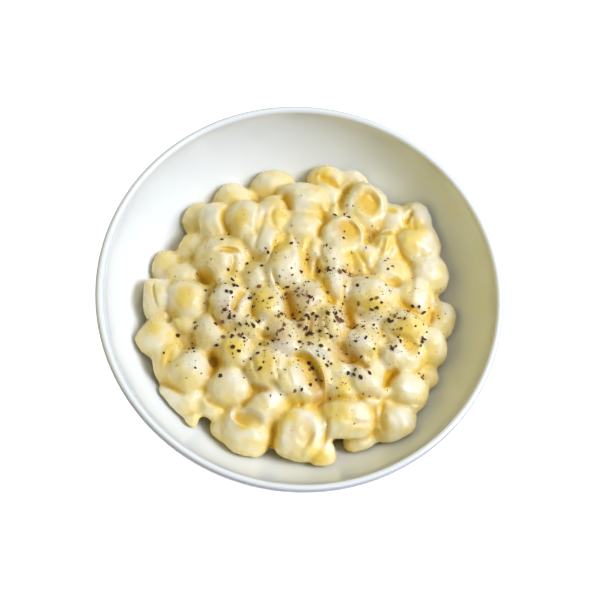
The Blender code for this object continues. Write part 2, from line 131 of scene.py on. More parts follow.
# Folds where one edge of pasta or sauce lies over the next: the line's start, middle and end,
# the groove's half width and depth, how far the left side of the line stands below the right
# one (all mm), and how golden it is painted, from 0 to 1: bare pasta and painted shade in it
Fold = namedtuple("Fold", "x1 y1 x2 y2 x3 y3 width depth step tint")
FOLDS = [Fold(*row) for row in (
    # Far side and right side
    (-3, 60.5, 2, 59, 8, 56, 1.6, 2, 0.6, 0.9), (13, 61, 9.5, 52, 10, 43, 1.4, 1.8, 0, 0.7),
    (39.5, 51, 38.8, 48, 37.3, 44.5, 0.9, 1.6, 0, 1), (36, 42, 35.6, 35, 44, 26, 1.1, 1.5, 0, 0.9),
    (29.5, 36, 29.5, 29, 26.3, 19, 1, 0.8, 0, 0.5), (6.5, 40, 3, 34, 3.6, 29, 1.2, 1.8, 0, 0.9),
    (4, 28, 5, 22, 8, 17, 1, 1, 0, 0.4), (30, 15.5, 36, 16.4, 41, 18, 1.1, 0.6, 0.2, 0.3),
    (40, 9.5, 45, 6.5, 51, 4.5, 1.4, 1.8, 0.4, 0.9), (53, 17, 54, 10, 56, 3, 1.2, 1.5, 0, 0.7),
    (7.5, 14, 9.5, 7, 15, 1.5, 1.6, 2.2, 0, 1), (20, 3, 21.5, -3, 25, -8, 1.7, 2.8, 0, 1),
    (17.5, 14, 17, 8, 19, 3, 0.9, 1, 0, 0.5), (38, 53, 41, 47, 42, 41, 0.9, 0.6, 0.3, 0.3),
    (44, 31, 50, 34, 52, 42, 1, 0.5, 0.6, 0.15), (14, 64.5, 21, 66, 26, 60, 0.8, 0.6, -0.5, 0.2),
    (44, 24, 45, 17, 44, 11, 1, 0.6, 0, 0.2), (20, 26, 24, 22, 27, 18, 0.9, 0.8, 0, 0.4),
    (38, -6, 45, -7, 54, -9.5, 1, 1.2, 0, 0.4), (53, -12, 54, -17, 50, -20, 0.9, 1, 0, 0.5),
    (44.5, -19.5, 42.5, -24, 39.5, -31, 1.4, 3, 0, 1),
    (43, -32, 50, -33, 58, -31.5, 1, 1, 0.3, 0.2), (42, -33, 42, -40, 45, -47, 1.2, 1.2, -0.5, 0.7),
    (29, -35.5, 34.5, -34.2, 41, -33, 1.4, 2.4, 0, 0.7),
    # Middle
    (-16.5, 47, -13, 43.5, -11.5, 39, 1.6, 3, 0, 1), (-6, 3, -4, -3, 1, -8, 1.8, 3, 0, 1),
    (-17.5, -4, -17.5, -10, -13, -14, 1.1, 1.6, 0, 0.8),
    (-13.5, -17.5, -10, -18.8, -6, -20, 1.3, 1.8, 0, 0.8),
    (24, -19.5, 28.5, -20.8, 33.5, -24, 1.6, 3.2, 0, 0.9), (5, -5, 6, -11, 5, -17, 1, 1, 0, 0.5),
    (11.5, -5, 13, -11, 18, -17, 0.7, 0.6, 0, 0.2), (14.5, -3, 16.5, -8, 20, -13, 0.7, 0.6, 0, 0.2),
    (18, -17, 20.5, -12, 22, -7, 1, 1.2, 0, 0.6), (36, -5, 35, -11, 36, -17, 0.9, 1, 0, 0.4),
    (0, 29, -0.5, 20, 3, 12, 1.5, 1.6, 0, 0.5), (4, 21, 4.5, 16, 4.5, 11, 1.2, 2, 0, 0.7),
    (-14, 26, -14.8, 18, -16.5, 10, 1, 1.1, 0.4, 0.7), (-9, 29, -4, 20, -1, 9, 0.9, 0.6, 0.9, 0.3),
    (0, 44, 2.5, 42.5, 3.6, 39, 1.1, 1.2, 0, 0.8), (-14, 10, -10, 4, -6, 3, 1, 1.2, 0, 0.6),
    # Left side
    (-35.2, -7, -33, -14.5, -25.5, -19.4, 1, 1.1, -0.5, 0.8),
    (-37.3, 36, -38, 29, -32.5, 24, 1.3, 1.4, 1.2, 0.9),
    (-24.8, 41, -24, 32, -23, 22, 0.7, 0.8, 0.3, 0.3),
    (-21, 36, -21.5, 29, -22.5, 18, 0.8, 0.7, -0.3, 0.35),
    (-17.5, 39, -18, 34, -15, 30, 1, 0.8, 0, 0.6),
    (-42.3, 20.5, -42.6, 17, -42, 13, 0.6, 0.7, 0, 0.5),
    (-31, 14.5, -29.8, 10, -31, 4.5, 1.5, 1, 0, 0.8),
    (-60.5, -2, -59, -8.5, -56, -13.5, 0.5, 1, -0.5, 0.6),
    (-54, -13.5, -51, -14, -47, -17, 1, 1.4, 0, 0.5),
    (-33.8, -9, -32.8, -14, -28.5, -18, 0.6, 0.8, 0.5, 0.6),
    (-22.5, -0.5, -24.6, -6, -25.5, -12.5, 1.5, 1.8, 0, 0.9),
    (-33.5, -26.5, -28.5, -32, -30.5, -40, 1.8, 1.8, 0, 1),
    (-45, -28.5, -47.8, -33.5, -46.5, -40, 1.2, 0.5, 0, 0.7),
    (-53, -41, -46, -43.5, -38, -46.5, 1.3, 1.6, 0, 0.7),
    (-30, -46, -25, -48.5, -17, -48, 1.1, 1.4, 0, 0.5),
    (-16, -48, -12.5, -44, -12.5, -38, 1.2, 1.4, 0, 0.6),
    (-13, -38.5, -9.5, -39.6, -5, -40, 1, 1.4, 0, 0.7),
    (-14, -26, -13, -31, -10, -36, 0.8, 0.7, -0.3, 0.3),
    (-27, -25, -27, -29, -25, -34, 0.9, 1, 0, 0.5),
    # Near side
    (-1, -50, 0.6, -57, -0.5, -64, 1.7, 3.4, 0, 0.9), (3, -44, 6, -43, 11, -42, 1, 1.2, 0, 0.6),
    (12, -41, 16, -39.5, 18.5, -34, 1.5, 2.6, 0, 0.8),
    (19.5, -46, 21, -50, 20.5, -57, 0.9, 1.4, 0, 0.4),
    (30, -46, 35, -45, 39, -43, 1.1, 1.2, 0, 0.5), (-4, -26, -3.5, -31, -1, -37, 0.8, 0.9, 0, 0.3),
    (-41, -52, -36, -54, -33, -52, 0.9, 0.8, 0, 0.1),
    (15.5, -39.2, 22, -37.4, 29.5, -36.4, 1.1, 1.8, 0, 0.6),
    (37.5, -36, 39.5, -42, 38.5, -47, 1.2, 1.6, 0, 0.5),
)]

# Soft hollows in the shells: middle, half length and half width (mm), the way the hollow runs
# (degrees from +X), where it is deepest (shares of its half length and half width), its depth
# (mm), how flat its floor is, and how golden it is painted, from 0 to 1: bare pasta and painted
# shade in it
Hollow = namedtuple("Hollow", "x y length width heading along across depth flatness tint")
HOLLOWS = [Hollow(*row) for row in (
    (20, 49.2, 8.2, 6.6, -54, 0, 0.55, 3.6, 1.9, 1), (13.4, 33.6, 8, 6.4, -44, 0, 0.7, 3.4, 1.8, 1),
    (23.2, 33.8, 4, 2.2, 76, 0, 0, 0.6, 3, 1), (31.2, 38.2, 4.4, 1.9, 14, 0, 0.3, 1.6, 2.4, 1),
    (31.5, 49.3, 2.8, 2, 0, 0, 0, 0.4, 2, 0.7), (38.2, 17.2, 3.6, 3, 0, 0, 0, 0.8, 2, 0.8),
    (-33, 15, 6, 2, 9, 0.2, 0.6, 2.4, 2, 1), (-40.6, 3.8, 4.8, 2.9, -28, 0.2, 0, 2.8, 2.4, 1),
    (48.3, -10.4, 6, 4, -38, 0, 0.3, 2, 2, 0.8),
    (10.2, -54.8, 9, 6.8, 78, 0, -0.62, 2.4, 1.8, 0.45),
    (-11.4, -52.4, 6.8, 3.7, -12, -0.5, -0.35, 2.8, 1.6, 0.85),
    (-14.5, -4, 5.4, 3.4, 80, 0, 0, 0.3, 2, 0), (-9, -31, 3.6, 6, 0, 0, 0, 0.3, 2, 0),
    (45, 37, 9, 5.2, 55, 0, -0.3, 0.9, 2.2, 0), (-2, 19, 7.5, 2.6, -72, 0, 0, 1, 2, 0.25),
    (33.5, 33, 5.5, 2.4, 82, 0, 0, 0.7, 2, 0.3),
    (10.2, -31.6, 11, 5.2, -57, 0, 0.72, 4.8, 1.8, 0.85),
    (8.2, -25.4, 6.4, 2.8, -24, 0, 0.5, 1.4, 2.4, 1), (-56.4, -22.2, 3.2, 2.8, 0, 0, 0, 0.3, 2, 0),
    (58, 8, 5, 3.4, 80, 0, 0.5, 0.5, 2, 0.6), (24, -43.5, 8, 4.6, 12, 0, 0, 0.6, 2, 0),
    (-12.5, 19, 8, 3, 72, 0, 0.3, 0.7, 2, 0.3),
)]

# Sauce that has gathered between shells: middle, half width along X and Y, and how far its
# top lies below the crown, all in mm
POOLS = (
    (-3, 25, 8, 7, 1.8), (-43, -17, 7, 5, 2.4), (-38, -46, 9, 4, 2.6), (6, -38, 6, 5, 3.4),
    (26, 13, 8, 4, 1.2), (21, -26, 7, 4, 1.2), (38, -37, 6, 5, 4.2), (-24, -22, 6, 4, 1.6),
    (44, -33, 7, 3, 3.2), (-31, 4, 6, 4, 1.8), (37, 10, 6, 5, 1.4), (10, 44, 5, 6, 3),
)

# Golden spots inside shells and deep between them, bare pasta and painted shade: middle, half
# length and half width (mm), and the way it runs (degrees from +X)
GOLDEN = (
    (8, -24.8, 6, 2.2, -20), (14.6, -31, 7.5, 2.6, -62), (16, -39, 3, 2, -60), (45, 7, 4.5, 2, -20),
    (12.5, 2.4, 3.2, 1.5, -10), (22, -3, 4.5, 2.2, -65), (28.5, -21, 4.4, 2.2, -15),
    (42, -23, 3.8, 2, 60), (48, -9.6, 4, 1.8, -30), (-29, -32.5, 4.5, 2, -80),
    (-48, -34.5, 5.5, 2.4, 76), (-34.6, 26, 2.4, 1.8, -40), (0, -58, 5, 1.6, -85),
    (57, 9, 4.5, 2.6, 80), (-3, -4.5, 4, 2.2, -60), (58, -19, 3, 1.4, 0), (19, -62, 3, 1.4, 0),
    (36, -47, 4, 1.8, 10),
)

# White spots on the tops and edges, partly sauce that stayed there thicker and partly painted
# highlights: middle, half length and half width (mm), and the way it runs (degrees from +X)
THICK_SAUCE_AND_HIGHLIGHTS = (
    (13, 66, 6, 3, 0), (22, 62, 5, 2.5, -40), (13.4, 50, 7, 1.6, 88), (26.6, 56, 6, 1.5, -70),
    (8.5, 31, 5, 4, 60), (33, 45, 3, 3, 0), (44, 53, 6, 3.5, -70), (47.5, 38, 5, 1.8, 50),
    (51, 29, 4, 3, 40), (48, 20, 6, 3, 90), (50, 12, 5, 2.5, 90), (24.5, 28.4, 3.4, 1.8, 10),
    (29, 12.6, 7.5, 2, 4), (22, 9, 4, 2.6, 60), (13, 10, 4.5, 2.2, -75), (60, 13, 3.4, 3, 0),
    (-9, 50, 4, 4, 0), (-28, 33, 5, 3, 80), (-43, 31, 6, 2.8, -65), (-19, 23, 4.5, 3, 90),
    (-9, 9, 4.5, 3.5, 0), (-22, 37, 4, 1.6, 90), (-9, 42, 4, 3, 0), (-8, 33, 5, 3, 60),
    (-4.5, 16, 10, 1.5, -76), (-31, -5, 4.5, 3.4, 80), (-33, -19, 5.5, 3, -50), (-37, -35, 4, 4, 0),
    (-52, -9, 5, 2, 90), (-9, -4, 4, 3.5, 80), (-13, -12, 2.4, 2, 0), (-3, -22, 4.5, 3, -30),
    (-2, -42, 4.5, 3.2, 30), (-17.6, -53, 4, 1.7, 100), (-8.5, -58.4, 6, 2, 8), (-19, -37, 4, 3, 0),
    (-44, -47.4, 6, 2, -35), (43.4, -14.4, 4, 3, 0), (51.5, -26, 5, 3.4, 15),
    (33.5, -27, 4, 3, -60), (34.5, -43.5, 3.4, 3.6, -20), (49, -39, 4.5, 4, 30),
    (27, -27, 4.5, 2, -30), (7, -58, 4.5, 3, 20), (12, -47, 5, 2.4, -20), (17.8, -53, 7, 1.6, 95),
    (31, -2.4, 5.5, 2.2, 5), (28, -12, 4, 3, 0), (5.5, -34, 5.5, 3, -65), (13, -22, 5, 1.6, -15),
    (57, -6, 4.5, 3, 80), (32, -41, 3.4, 2.2, 0), (23, -57, 2.4, 2.2, 0), (-58, 1, 5, 2, -60),
    (-22, -6, 5, 1.5, 75), (39, -15, 5, 1.5, 85), (-24, 54, 4, 3, 20),
)

# Pasta that shows yellow through thin sauce on the shells' tops: middle and half widths (mm)
YELLOW = (
    (-56, -22, 3.5, 3), (-12, -5, 3.5, 5), (-9, -31, 3.5, 6), (23, -44, 7, 3.8), (-15, 35, 4, 3),
    (-12, 22, 3, 6), (20, -61, 4, 3), (24, -33, 3, 4), (30, 4, 4, 3), (45, -3, 5, 4),
    (31.5, 49.5, 2, 2), (42, 44, 5, 4), (20, 24, 5, 3), (-46, -8, 4, 5), (1.5, -28, 1.6, 1.4),
    (-22, -26, 4, 4), (8, -42, 6, 3), (-30, 30, 3, 5), (57, -10, 3, 6), (-15, -4, 3, 6),
    (0, 62, 3, 3), (42, 36, 3.5, 5), (5, -48, 3.5, 3), (-12, -56, 3, 1.6), (-48, -33, 2.5, 5),
    (20.5, -43, 5.5, 3.2), (29, 3, 4, 2.5), (32, 33, 2.5, 4), (40, 36, 2.5, 4), (-10, 24, 2, 5),
    (-2, 24, 2.5, 6),
)

# Where the pepper fell thickest: middle (mm), spread (mm) and how many flakes
PEPPER_CLUSTERS = (
    (10, 15, 2.2, 24), (18, 16, 1.8, 14), (1, 1, 2.4, 20), (-18, -14, 1.8, 14), (-28, -12, 2.2, 14),
    (-7, -19, 2, 14), (13, -6, 4.6, 34), (1, -11, 3.4, 24), (41, 3, 2.6, 20), (44, -10, 2.6, 16),
    (32, -8, 5, 34), (24, -33, 1.2, 4), (13, -32, 1.8, 5), (7, -14, 4.6, 26), (-21, -24, 3.6, 16),
    (-40, -28, 1.8, 6), (13, 44, 3.4, 14), (20, -18, 5, 28), (-28, 14, 4, 8), (34, 24, 2, 6),
    (-11, 17, 3, 6), (51, -5, 3.4, 16), (32, 5, 5, 22), (-10, -27, 4, 10), (-41, -37, 3, 5),
    (-28, 0, 2.6, 8), (22, 40, 2.4, 6), (-37, -20, 2.4, 6), (6, 23, 3, 8), (-38, -3, 3, 4),
    (-8, 34, 4, 5), (48, 3, 3.4, 10), (-34, -47, 1.2, 2), (57, 11, 2.4, 4), (7, -37, 2, 3),
    (24, -44, 1.2, 2),
)

# Warm brown spots, partly where the ground pepper has bled into the sauce and partly painted
# shade in crevices: middle and half widths (mm)
STAINS_AND_SHADE = (
    (6, -11, 6, 5), (18, 16, 4, 3), (-4, -1, 3, 5), (-28, -12, 4, 3), (20, -4, 3, 4), (2, 1, 5, 4),
    (-6, -18, 5, 4), (22, -18, 6, 4), (15.4, -38, 3, 4), (-7, -40, 3, 1.6), (-29, -33.5, 2.4, 3.5),
    (13, -32, 2.6, 4), (28.5, -21.5, 4, 2.4), (18, 15.5, 3.4, 2.4), (-4, -5, 2.6, 3.4),
)


def linear(hex_colour):
    """Linear RGBA of an sRGB colour written as six hex digits."""
    parts = [int(hex_colour[i:i + 2], 16) / 255 for i in (0, 2, 4)]
    bent = [c / 12.92 if c <= 0.04045 else ((c + 0.055) / 1.055) ** 2.4 for c in parts]
    return (*bent, 1.0)


def length_setting(name, description, default, lowest=0.0):
    """A setting in metres."""
    return bpy.props.FloatProperty(
        name=name, description=description, default=default, min=lowest, unit="LENGTH"
    )


def colour_setting(name, description, hex_colour):
    """A setting that holds a colour."""
    return bpy.props.FloatVectorProperty(
        name=name, description=description, subtype="COLOR", size=4,
        min=0.0, max=1.0, default=linear(hex_colour)
    )


class BowlSettings(bpy.types.PropertyGroup):
    """Sizes and finish of the bowl."""

    wall: length_setting("Wall", "Thickness of the porcelain", 0.003, 0.001)
    inner_bottom: length_setting("Inner bottom", "Height of the inside's lowest point", 0.0065)
    base_thickness: length_setting("Base", "Thickness of the porcelain at the middle", 0.004)
    wall_curve: bpy.props.FloatProperty(
        name="Wall curve", description="How steep the wall turns toward the rim", default=1.75
    )
    foot_diameter: length_setting("Foot", "Outer diameter of the foot ring", 0.074)
    foot_width: length_setting("Foot width", "Width of the foot ring", 0.0045)
    glaze: colour_setting("Glaze", "Colour of the glazed porcelain", "F5F8F8")
    # Painted shade on the lip's outer edge and, faintly, over the rest of the outside
    painted_lip_shade: colour_setting(
        "Thin glaze", "Colour where the glaze has run thin below the lip", "8E8C90"
    )
    glaze_shade: colour_setting("Glaze shade", "Colour where the glaze is thickest", "EEF2EF")


class HeapSettings(bpy.types.PropertyGroup):
    """Forms and colours of the pasta and its sauce."""

    sauce_coat: length_setting("Sauce coat", "Thickness of the sauce on a shell", 0.0012)
    web: length_setting("Web", "Radius of the sauce in the corners between shells", 0.0008)
    voxel: length_setting("Voxel", "Size of the cells that join the shells", 0.0005, 0.0001)
    unevenness: length_setting("Unevenness", "How far a shell leaves its regular form", 0.0013)
    sauce: colour_setting("Sauce", "Colour of the sauce", "F1E6C2")
    # Thicker sauce, and painted highlights on the tops and edges
    thick_sauce_and_highlight: colour_setting("Thick sauce", "Colour of the thickest sauce", "F3EEE0")
    thin_sauce: colour_setting(
        "Thin sauce", "Colour where pasta shows through the sauce", "EFDA92"
    )
    # Painted shade in corners, low places and steep sides; on steep sides partly also thinner sauce
    recess_shade: colour_setting(
        "Sauce in corners", "Colour of the sauce in the hollows between shells", "E9CD70"
    )
    yellow_pasta: colour_setting(
        "Yellow pasta", "Colour of the pasta under a trace of sauce", "F0D04C"
    )
    # Bare pasta, and painted shade in creases, hollows and gaps
    golden_pasta_and_shade: colour_setting(
        "Golden pasta", "Colour of the bare pasta deep between shells", "E2B936"
    )
    # Painted shade far down beside the wall
    deep_gap_shade: colour_setting(
        "Deep pasta", "Colour of the pasta far down beside the wall", "A07F2A"
    )
    # Pepper stains, and painted shade in some crevices
    stain_and_shade: colour_setting("Stain", "Colour that ground pepper leaves in the sauce", "A8682E")


class PepperSettings(bpy.types.PropertyGroup):
    """Sizes and colours of the ground pepper."""

    loose: bpy.props.IntProperty(
        name="Loose flakes", description="Number of flakes outside the clusters", default=850, min=0
    )
    largest: length_setting("Largest", "Size of the largest flake", 0.0021)
    smallest: length_setting("Smallest", "Size of the finest dust", 0.0003, 0.0001)
    dark: colour_setting("Husk", "Colour of the peppercorns' dark husk", "5E3C28")
    tan: colour_setting("Kernel", "Colour of the peppercorns' pale kernel", "A0683C")


class StageSettings(bpy.types.PropertyGroup):
    """Floor, lights and camera."""

    elevation: bpy.props.FloatProperty(
        name="Elevation", description="How far the camera looks down",
        default=math.radians(69.8), subtype="ANGLE"
    )
    tilt: bpy.props.FloatProperty(
        name="Tilt", description="How far the camera is turned about its own axis",
        default=math.radians(11.2), subtype="ANGLE"
    )
    distance: length_setting("Distance", "From the camera to the middle of the rim", 0.60)
    focal_length: bpy.props.FloatProperty(
        name="Focal length", description="Focal length on a 36 mm sensor, in millimetres",
        default=89.44
    )
    floor: colour_setting("Floor", "Colour of the matt floor", "FAFAF8")


SETTINGS = {
    "mac_bowl": BowlSettings,
    "mac_heap": HeapSettings,
    "mac_pepper": PepperSettings,
    "mac_stage": StageSettings,
}

QUARTER_TURN = math.radians(90.0)


def along_z(z):
    """A step straight up, or a point on the bowl's axis."""
    return Vector((0.0, 0.0, z))


def circle(segments):
    """Cosine and sine of evenly spaced directions round a full turn."""
    angles = [2.0 * math.pi * i / segments for i in range(segments)]
    return [(math.cos(angle), math.sin(angle)) for angle in angles]


def eased(share):
    """A share from 0 to 1, bent so that it starts and ends softly."""
    return share * share * (3.0 - 2.0 * share)


def ramp(values, low, high):
    """Values as shares: 0 up to the low one, 1 from the high one on."""
    return np.clip((values - low) / (high - low), 0.0, 1.0)


WALL_STEPS = 40
LIP_STEPS = 12
BOWL_SEGMENTS = 192


def wall_height(settings, share, depth):
    """Height of a bowl-shaped curve at a share of its rim radius."""
    top = BOWL_HEIGHT - settings.wall / 2
    return top - depth * (1.0 - share ** 2) ** (1.0 / settings.wall_curve)


def inside_wall(settings):
    """The bowl's inside from its middle up to the lip, as (radius, height) points."""
    inner_rim = RIM_RADIUS - settings.wall
    depth = BOWL_HEIGHT - settings.wall / 2 - settings.inner_bottom
    shares = [math.sin(QUARTER_TURN * i / WALL_STEPS) for i in range(WALL_STEPS + 1)]
    return [(inner_rim * share, wall_height(settings, share, depth)) for share in shares]


def inner_radius(settings, heights):
    """Distance from the axis to the bowl's inside wall at these heights."""
    points = np.array(inside_wall(settings))
    return np.interp(heights, points[:, 1], points[:, 0])


def bowl_profile(settings):
    """Inside from the middle up, round the lip, down the outside and under the foot."""
    half = settings.wall / 2
    top = BOWL_HEIGHT - half
    depth = top - settings.inner_bottom + settings.base_thickness
    profile = inside_wall(settings)
    for i in range(1, LIP_STEPS):
        angle = math.pi * (1.0 - i / LIP_STEPS)
        profile.append((RIM_RADIUS - half + half * math.cos(angle), top + half * math.sin(angle)))
    foot = settings.foot_diameter / 2
    foot_turn = math.asin(foot / RIM_RADIUS)
    for i in range(WALL_STEPS + 1):
        share = math.sin(QUARTER_TURN + (foot_turn - QUARTER_TURN) * i / WALL_STEPS)
        profile.append((RIM_RADIUS * share, wall_height(settings, share, depth)))
    edge = settings.foot_width / 4
    under_base = settings.inner_bottom - settings.base_thickness
    inside_foot = foot - settings.foot_width
    profile += [
        (foot, edge), (foot - edge, 0.0), (inside_foot + edge, 0.0), (inside_foot, edge),
        (inside_foot - edge, under_base), (0.0, under_base),
    ]
    return profile


def ring_faces(rings, segments):
    """Faces of stacked rings closed by a first and a last point on the axis."""
    last = 1 + rings * segments
    faces = []
    for i in range(segments):
        j = (i + 1) % segments
        faces.append((0, 1 + i, 1 + j))
        for ring in range(rings - 1):
            low = 1 + ring * segments
            high = low + segments
            faces.append((low + i, high + i, high + j, low + j))
        top = last - segments
        faces.append((top + i, last, top + j))
    return faces


def make_object(name, verts, faces):
    """A mesh object, with its faces pointing out and shaded smooth."""
    mesh = bpy.data.meshes.new(name)
    mesh.from_pydata([tuple(v) for v in verts], [], faces)
    shape = bmesh.new()
    shape.from_mesh(mesh)
    bmesh.ops.recalc_face_normals(shape, faces=shape.faces)
    shape.to_mesh(mesh)
    shape.free()
    mesh.shade_smooth()
    item = bpy.data.objects.new(name, mesh)
    bpy.context.scene.collection.objects.link(item)
    return item


def turned(name, profile, segments):
    """A closed solid turned round Z; the profile's first and last points are on the axis."""
    verts = [(0.0, 0.0, profile[0][1])]
    for radius, z in profile[1:-1]:
        verts += [(radius * x, radius * y, z) for x, y in circle(segments)]
    verts.append((0.0, 0.0, profile[-1][1]))
    return make_object(name, verts, ring_faces(len(profile) - 2, segments))


def crown(x, y):
    """Height of the dome that the shells' tops follow."""
    return CROWN_HEIGHT - CROWN_FALL * (x * x + y * y) / CROWN_RADIUS ** 2


SHELL_SEGMENTS = 44
TOP_RINGS = 16
UNDER_RINGS = 11
BACK_FULLNESS = 0.92
OUTLINE_FULLNESS = 2.5
BEND = 0.12
UNEVEN_SIZE = 0.013
NOISE_SEED = 5


def shell_points(shell, settings, grow):
    """Points of a closed shell with its back up: the highest point, rings down to the outline
    and under it, and the lowest point."""
    length = shell.length * MM / 2 + settings.sauce_coat + grow
    width = shell.width * MM / 2 + settings.sauce_coat + grow
    height = width * BACK_FULLNESS
    power = OUTLINE_FULLNESS
    outline = []
    for x, y in circle(SHELL_SEGMENTS):
        share = ((abs(x) / length) ** power + (abs(y) / width) ** power) ** (1 / power)
        outline.append(Vector((x / share, y / share, 0.0)))
    points = [along_z(height)]
    for ring in range(1, TOP_RINGS + 1):
        turn = QUARTER_TURN * ring / TOP_RINGS
        points += [edge * math.sin(turn) + along_z(height * math.cos(turn)) for edge in outline]
    for ring in range(1, UNDER_RINGS + 1):
        turn = QUARTER_TURN * ring / (UNDER_RINGS + 1)
        points += [edge * math.cos(turn) - along_z(height * math.sin(turn)) for edge in outline]
    points.append(along_z(-height))
    for point in points:
        point.z -= BEND * point.x ** 2 / length
    return points


def lean_with_crown(x, y):
    """Rotation that tips a shell so that it lies along the dome."""
    slope = 2.0 * CROWN_FALL / CROWN_RADIUS ** 2
    normal = Vector((slope * x, slope * y, 1.0)).normalized()
    return along_z(1.0).rotation_difference(normal).to_matrix()


def placed_shell(shell, settings, grow):
    """Points of a shell, turned as it lies in the heap and with its top at its height."""
    x = shell.x * MM
    y = shell.y * MM
    roll = Matrix.Rotation(math.radians(shell.roll), 3, "X")
    heading = Matrix.Rotation(math.radians(shell.heading), 3, "Z")
    turn = lean_with_crown(x, y) @ heading @ roll
    points = [turn @ p for p in shell_points(shell, settings, grow)]
    top = max(p.z for p in points) - grow
    shift = Vector((x, y, crown(x, y) + shell.lift * MM - top))
    return [p + shift for p in points]


def softened(points, unevenness):
    """Push points a little off the regular form, as soft pasta and sauce are uneven."""
    return [p + unevenness * noise.noise_vector(p / UNEVEN_SIZE) for p in points]


WALL_CLEARANCE = 0.0006
MIDDLE_CLEARANCE = 0.003
PRESS_STEPS = 14


def inside_bowl(points, bowl, clearance):
    """Press the points of one piece toward its middle where they would cross the bowl's wall."""
    spots = np.array(points)
    middle = spots.mean(axis=0)
    excess = np.hypot(middle[0], middle[1]) + MIDDLE_CLEARANCE - inner_radius(bowl, middle[2])
    if excess > 0.0:
        inward = -middle * np.array((1.0, 1.0, 0.0)) / np.hypot(middle[0], middle[1])
        spots += inward * excess
        middle += inward * excess
    near = np.zeros(len(spots))
    far = np.ones(len(spots))
    share = np.ones(len(spots))
    for _ in range(PRESS_STEPS):
        tried = middle + (spots - middle) * share[:, None]
        clear = np.hypot(tried[:, 0], tried[:, 1]) <= inner_radius(bowl, tried[:, 2]) - clearance
        near = np.where(clear, share, near)
        far = np.where(clear, far, share)
        share = np.where(near >= 1.0, 1.0, (near + far) / 2)
    return middle + (spots - middle) * near[:, None]


CORE_DEPTH = 0.0065
CORE_EDGE_DROP = 0.018
CORE_EDGE_BEND = 6
CORE_EDGE_STEP = 0.0001
CORE_LUMP = 0.0016
CORE_LUMP_SIZE = 0.011
CORE_SEGMENTS = 120
CORE_UNDER_RINGS = 24
CORE_TOP_RINGS = 44


def core_top(x, y):
    """Lumpy height of the sauced pasta between the shells that show."""
    edge_drop = CORE_EDGE_DROP * (math.hypot(x, y) / CROWN_RADIUS) ** CORE_EDGE_BEND
    lump = CORE_LUMP * noise.noise(Vector((x, y, 0.0)) / CORE_LUMP_SIZE)
    return crown(x, y) - CORE_DEPTH - edge_drop + lump


def core_shape(bowl, grow):
    """The closely packed pasta under the shells that show, shaped by the bowl below."""
    clearance = WALL_CLEARANCE + grow
    inner_rim = RIM_RADIUS - bowl.wall
    edge = inner_rim
    while inner_radius(bowl, core_top(edge, 0.0)) - clearance < edge:
        edge -= CORE_EDGE_STEP
    depth = BOWL_HEIGHT - bowl.wall / 2 - bowl.inner_bottom
    points = [along_z(bowl.inner_bottom + clearance)]
    rings = []
    for i in range(1, CORE_UNDER_RINGS + 1):
        share = edge / inner_rim * math.sin(QUARTER_TURN * i / CORE_UNDER_RINGS)
        height = wall_height(bowl, share, depth) + clearance
        rings.append((inner_radius(bowl, height) - clearance, height))
    outer = rings[-1][0]
    rings += [(outer * (1.0 - i / CORE_TOP_RINGS), None) for i in range(1, CORE_TOP_RINGS)]
    for radius, height in rings:
        for across, along in circle(CORE_SEGMENTS):
            x = radius * across
            y = radius * along
            z = core_top(x, y) + grow if height is None else height
            points.append(Vector((x, y, z)))
    points.append(along_z(core_top(0.0, 0.0) + grow))
    return points, ring_faces(len(rings), CORE_SEGMENTS)


POOL_RINGS = 14
POOL_SEGMENTS = 32
POOL_THICKNESS = 0.0035
POOL_FULLNESS = 0.7


def pool_points(pool, grow):
    """Sauce gathered between shells: a flat round lump."""
    x, y, half_x, half_y, below = pool
    thickness = POOL_THICKNESS + grow
    top = crown(x * MM, y * MM) - below * MM
    middle = Vector((x * MM, y * MM, top - POOL_THICKNESS))
    points = [middle + along_z(thickness)]
    for i in range(1, POOL_RINGS + 1):
        turn = math.pi * i / (POOL_RINGS + 1)
        reach = math.sin(turn) ** POOL_FULLNESS
        for across, along in circle(POOL_SEGMENTS):
            points.append(middle + Vector((
                (half_x * MM + grow) * reach * across,
                (half_y * MM + grow) * reach * along,
                thickness * math.cos(turn),
            )))
    points.append(middle - along_z(thickness))
    return points


def remade(item, kind, **settings):
    """Give an object the mesh that a modifier with these settings makes of it."""
    modifier = item.modifiers.new("remade", kind)
    for name, value in settings.items():
        setattr(modifier, name, value)
    bpy.context.view_layer.update()
    graph = bpy.context.evaluated_depsgraph_get()
    mesh = bpy.data.meshes.new_from_object(item.evaluated_get(graph))
    item.modifiers.clear()
    item.data = mesh


def mesh_arrays(mesh):
    """Vertex places, vertex normals and edges as arrays."""
    arrays = []
    for items, name, width, kind in (
        (mesh.vertices, "co", 3, float),
        (mesh.vertex_normals, "vector", 3, float),
        (mesh.edges, "vertices", 2, np.int64),
    ):
        values = np.empty(len(items) * width, dtype=kind)
        items.foreach_get(name, values)
        arrays.append(values.reshape(-1, width))
    return arrays


SMOOTH_SHARE = 0.5


def relaxed(places, edges, steps):
    """Places drawn toward the mean of their neighbours, again and again."""
    ends = np.concatenate((edges[:, 0], edges[:, 1]))
    others = np.concatenate((edges[:, 1], edges[:, 0]))
    count = np.bincount(ends, minlength=len(places))
    result = places.copy()
    for _ in range(steps):
        sums = [np.bincount(ends, result[others, axis], len(places)) for axis in range(3)]
        result += (np.stack(sums, axis=1) / count[:, None] - result) * SMOOTH_SHARE
    return result


def set_places(mesh, places):
    """Move the vertices of a mesh."""
    mesh.vertices.foreach_set("co", places.astype(np.float32).ravel())
    mesh.update()


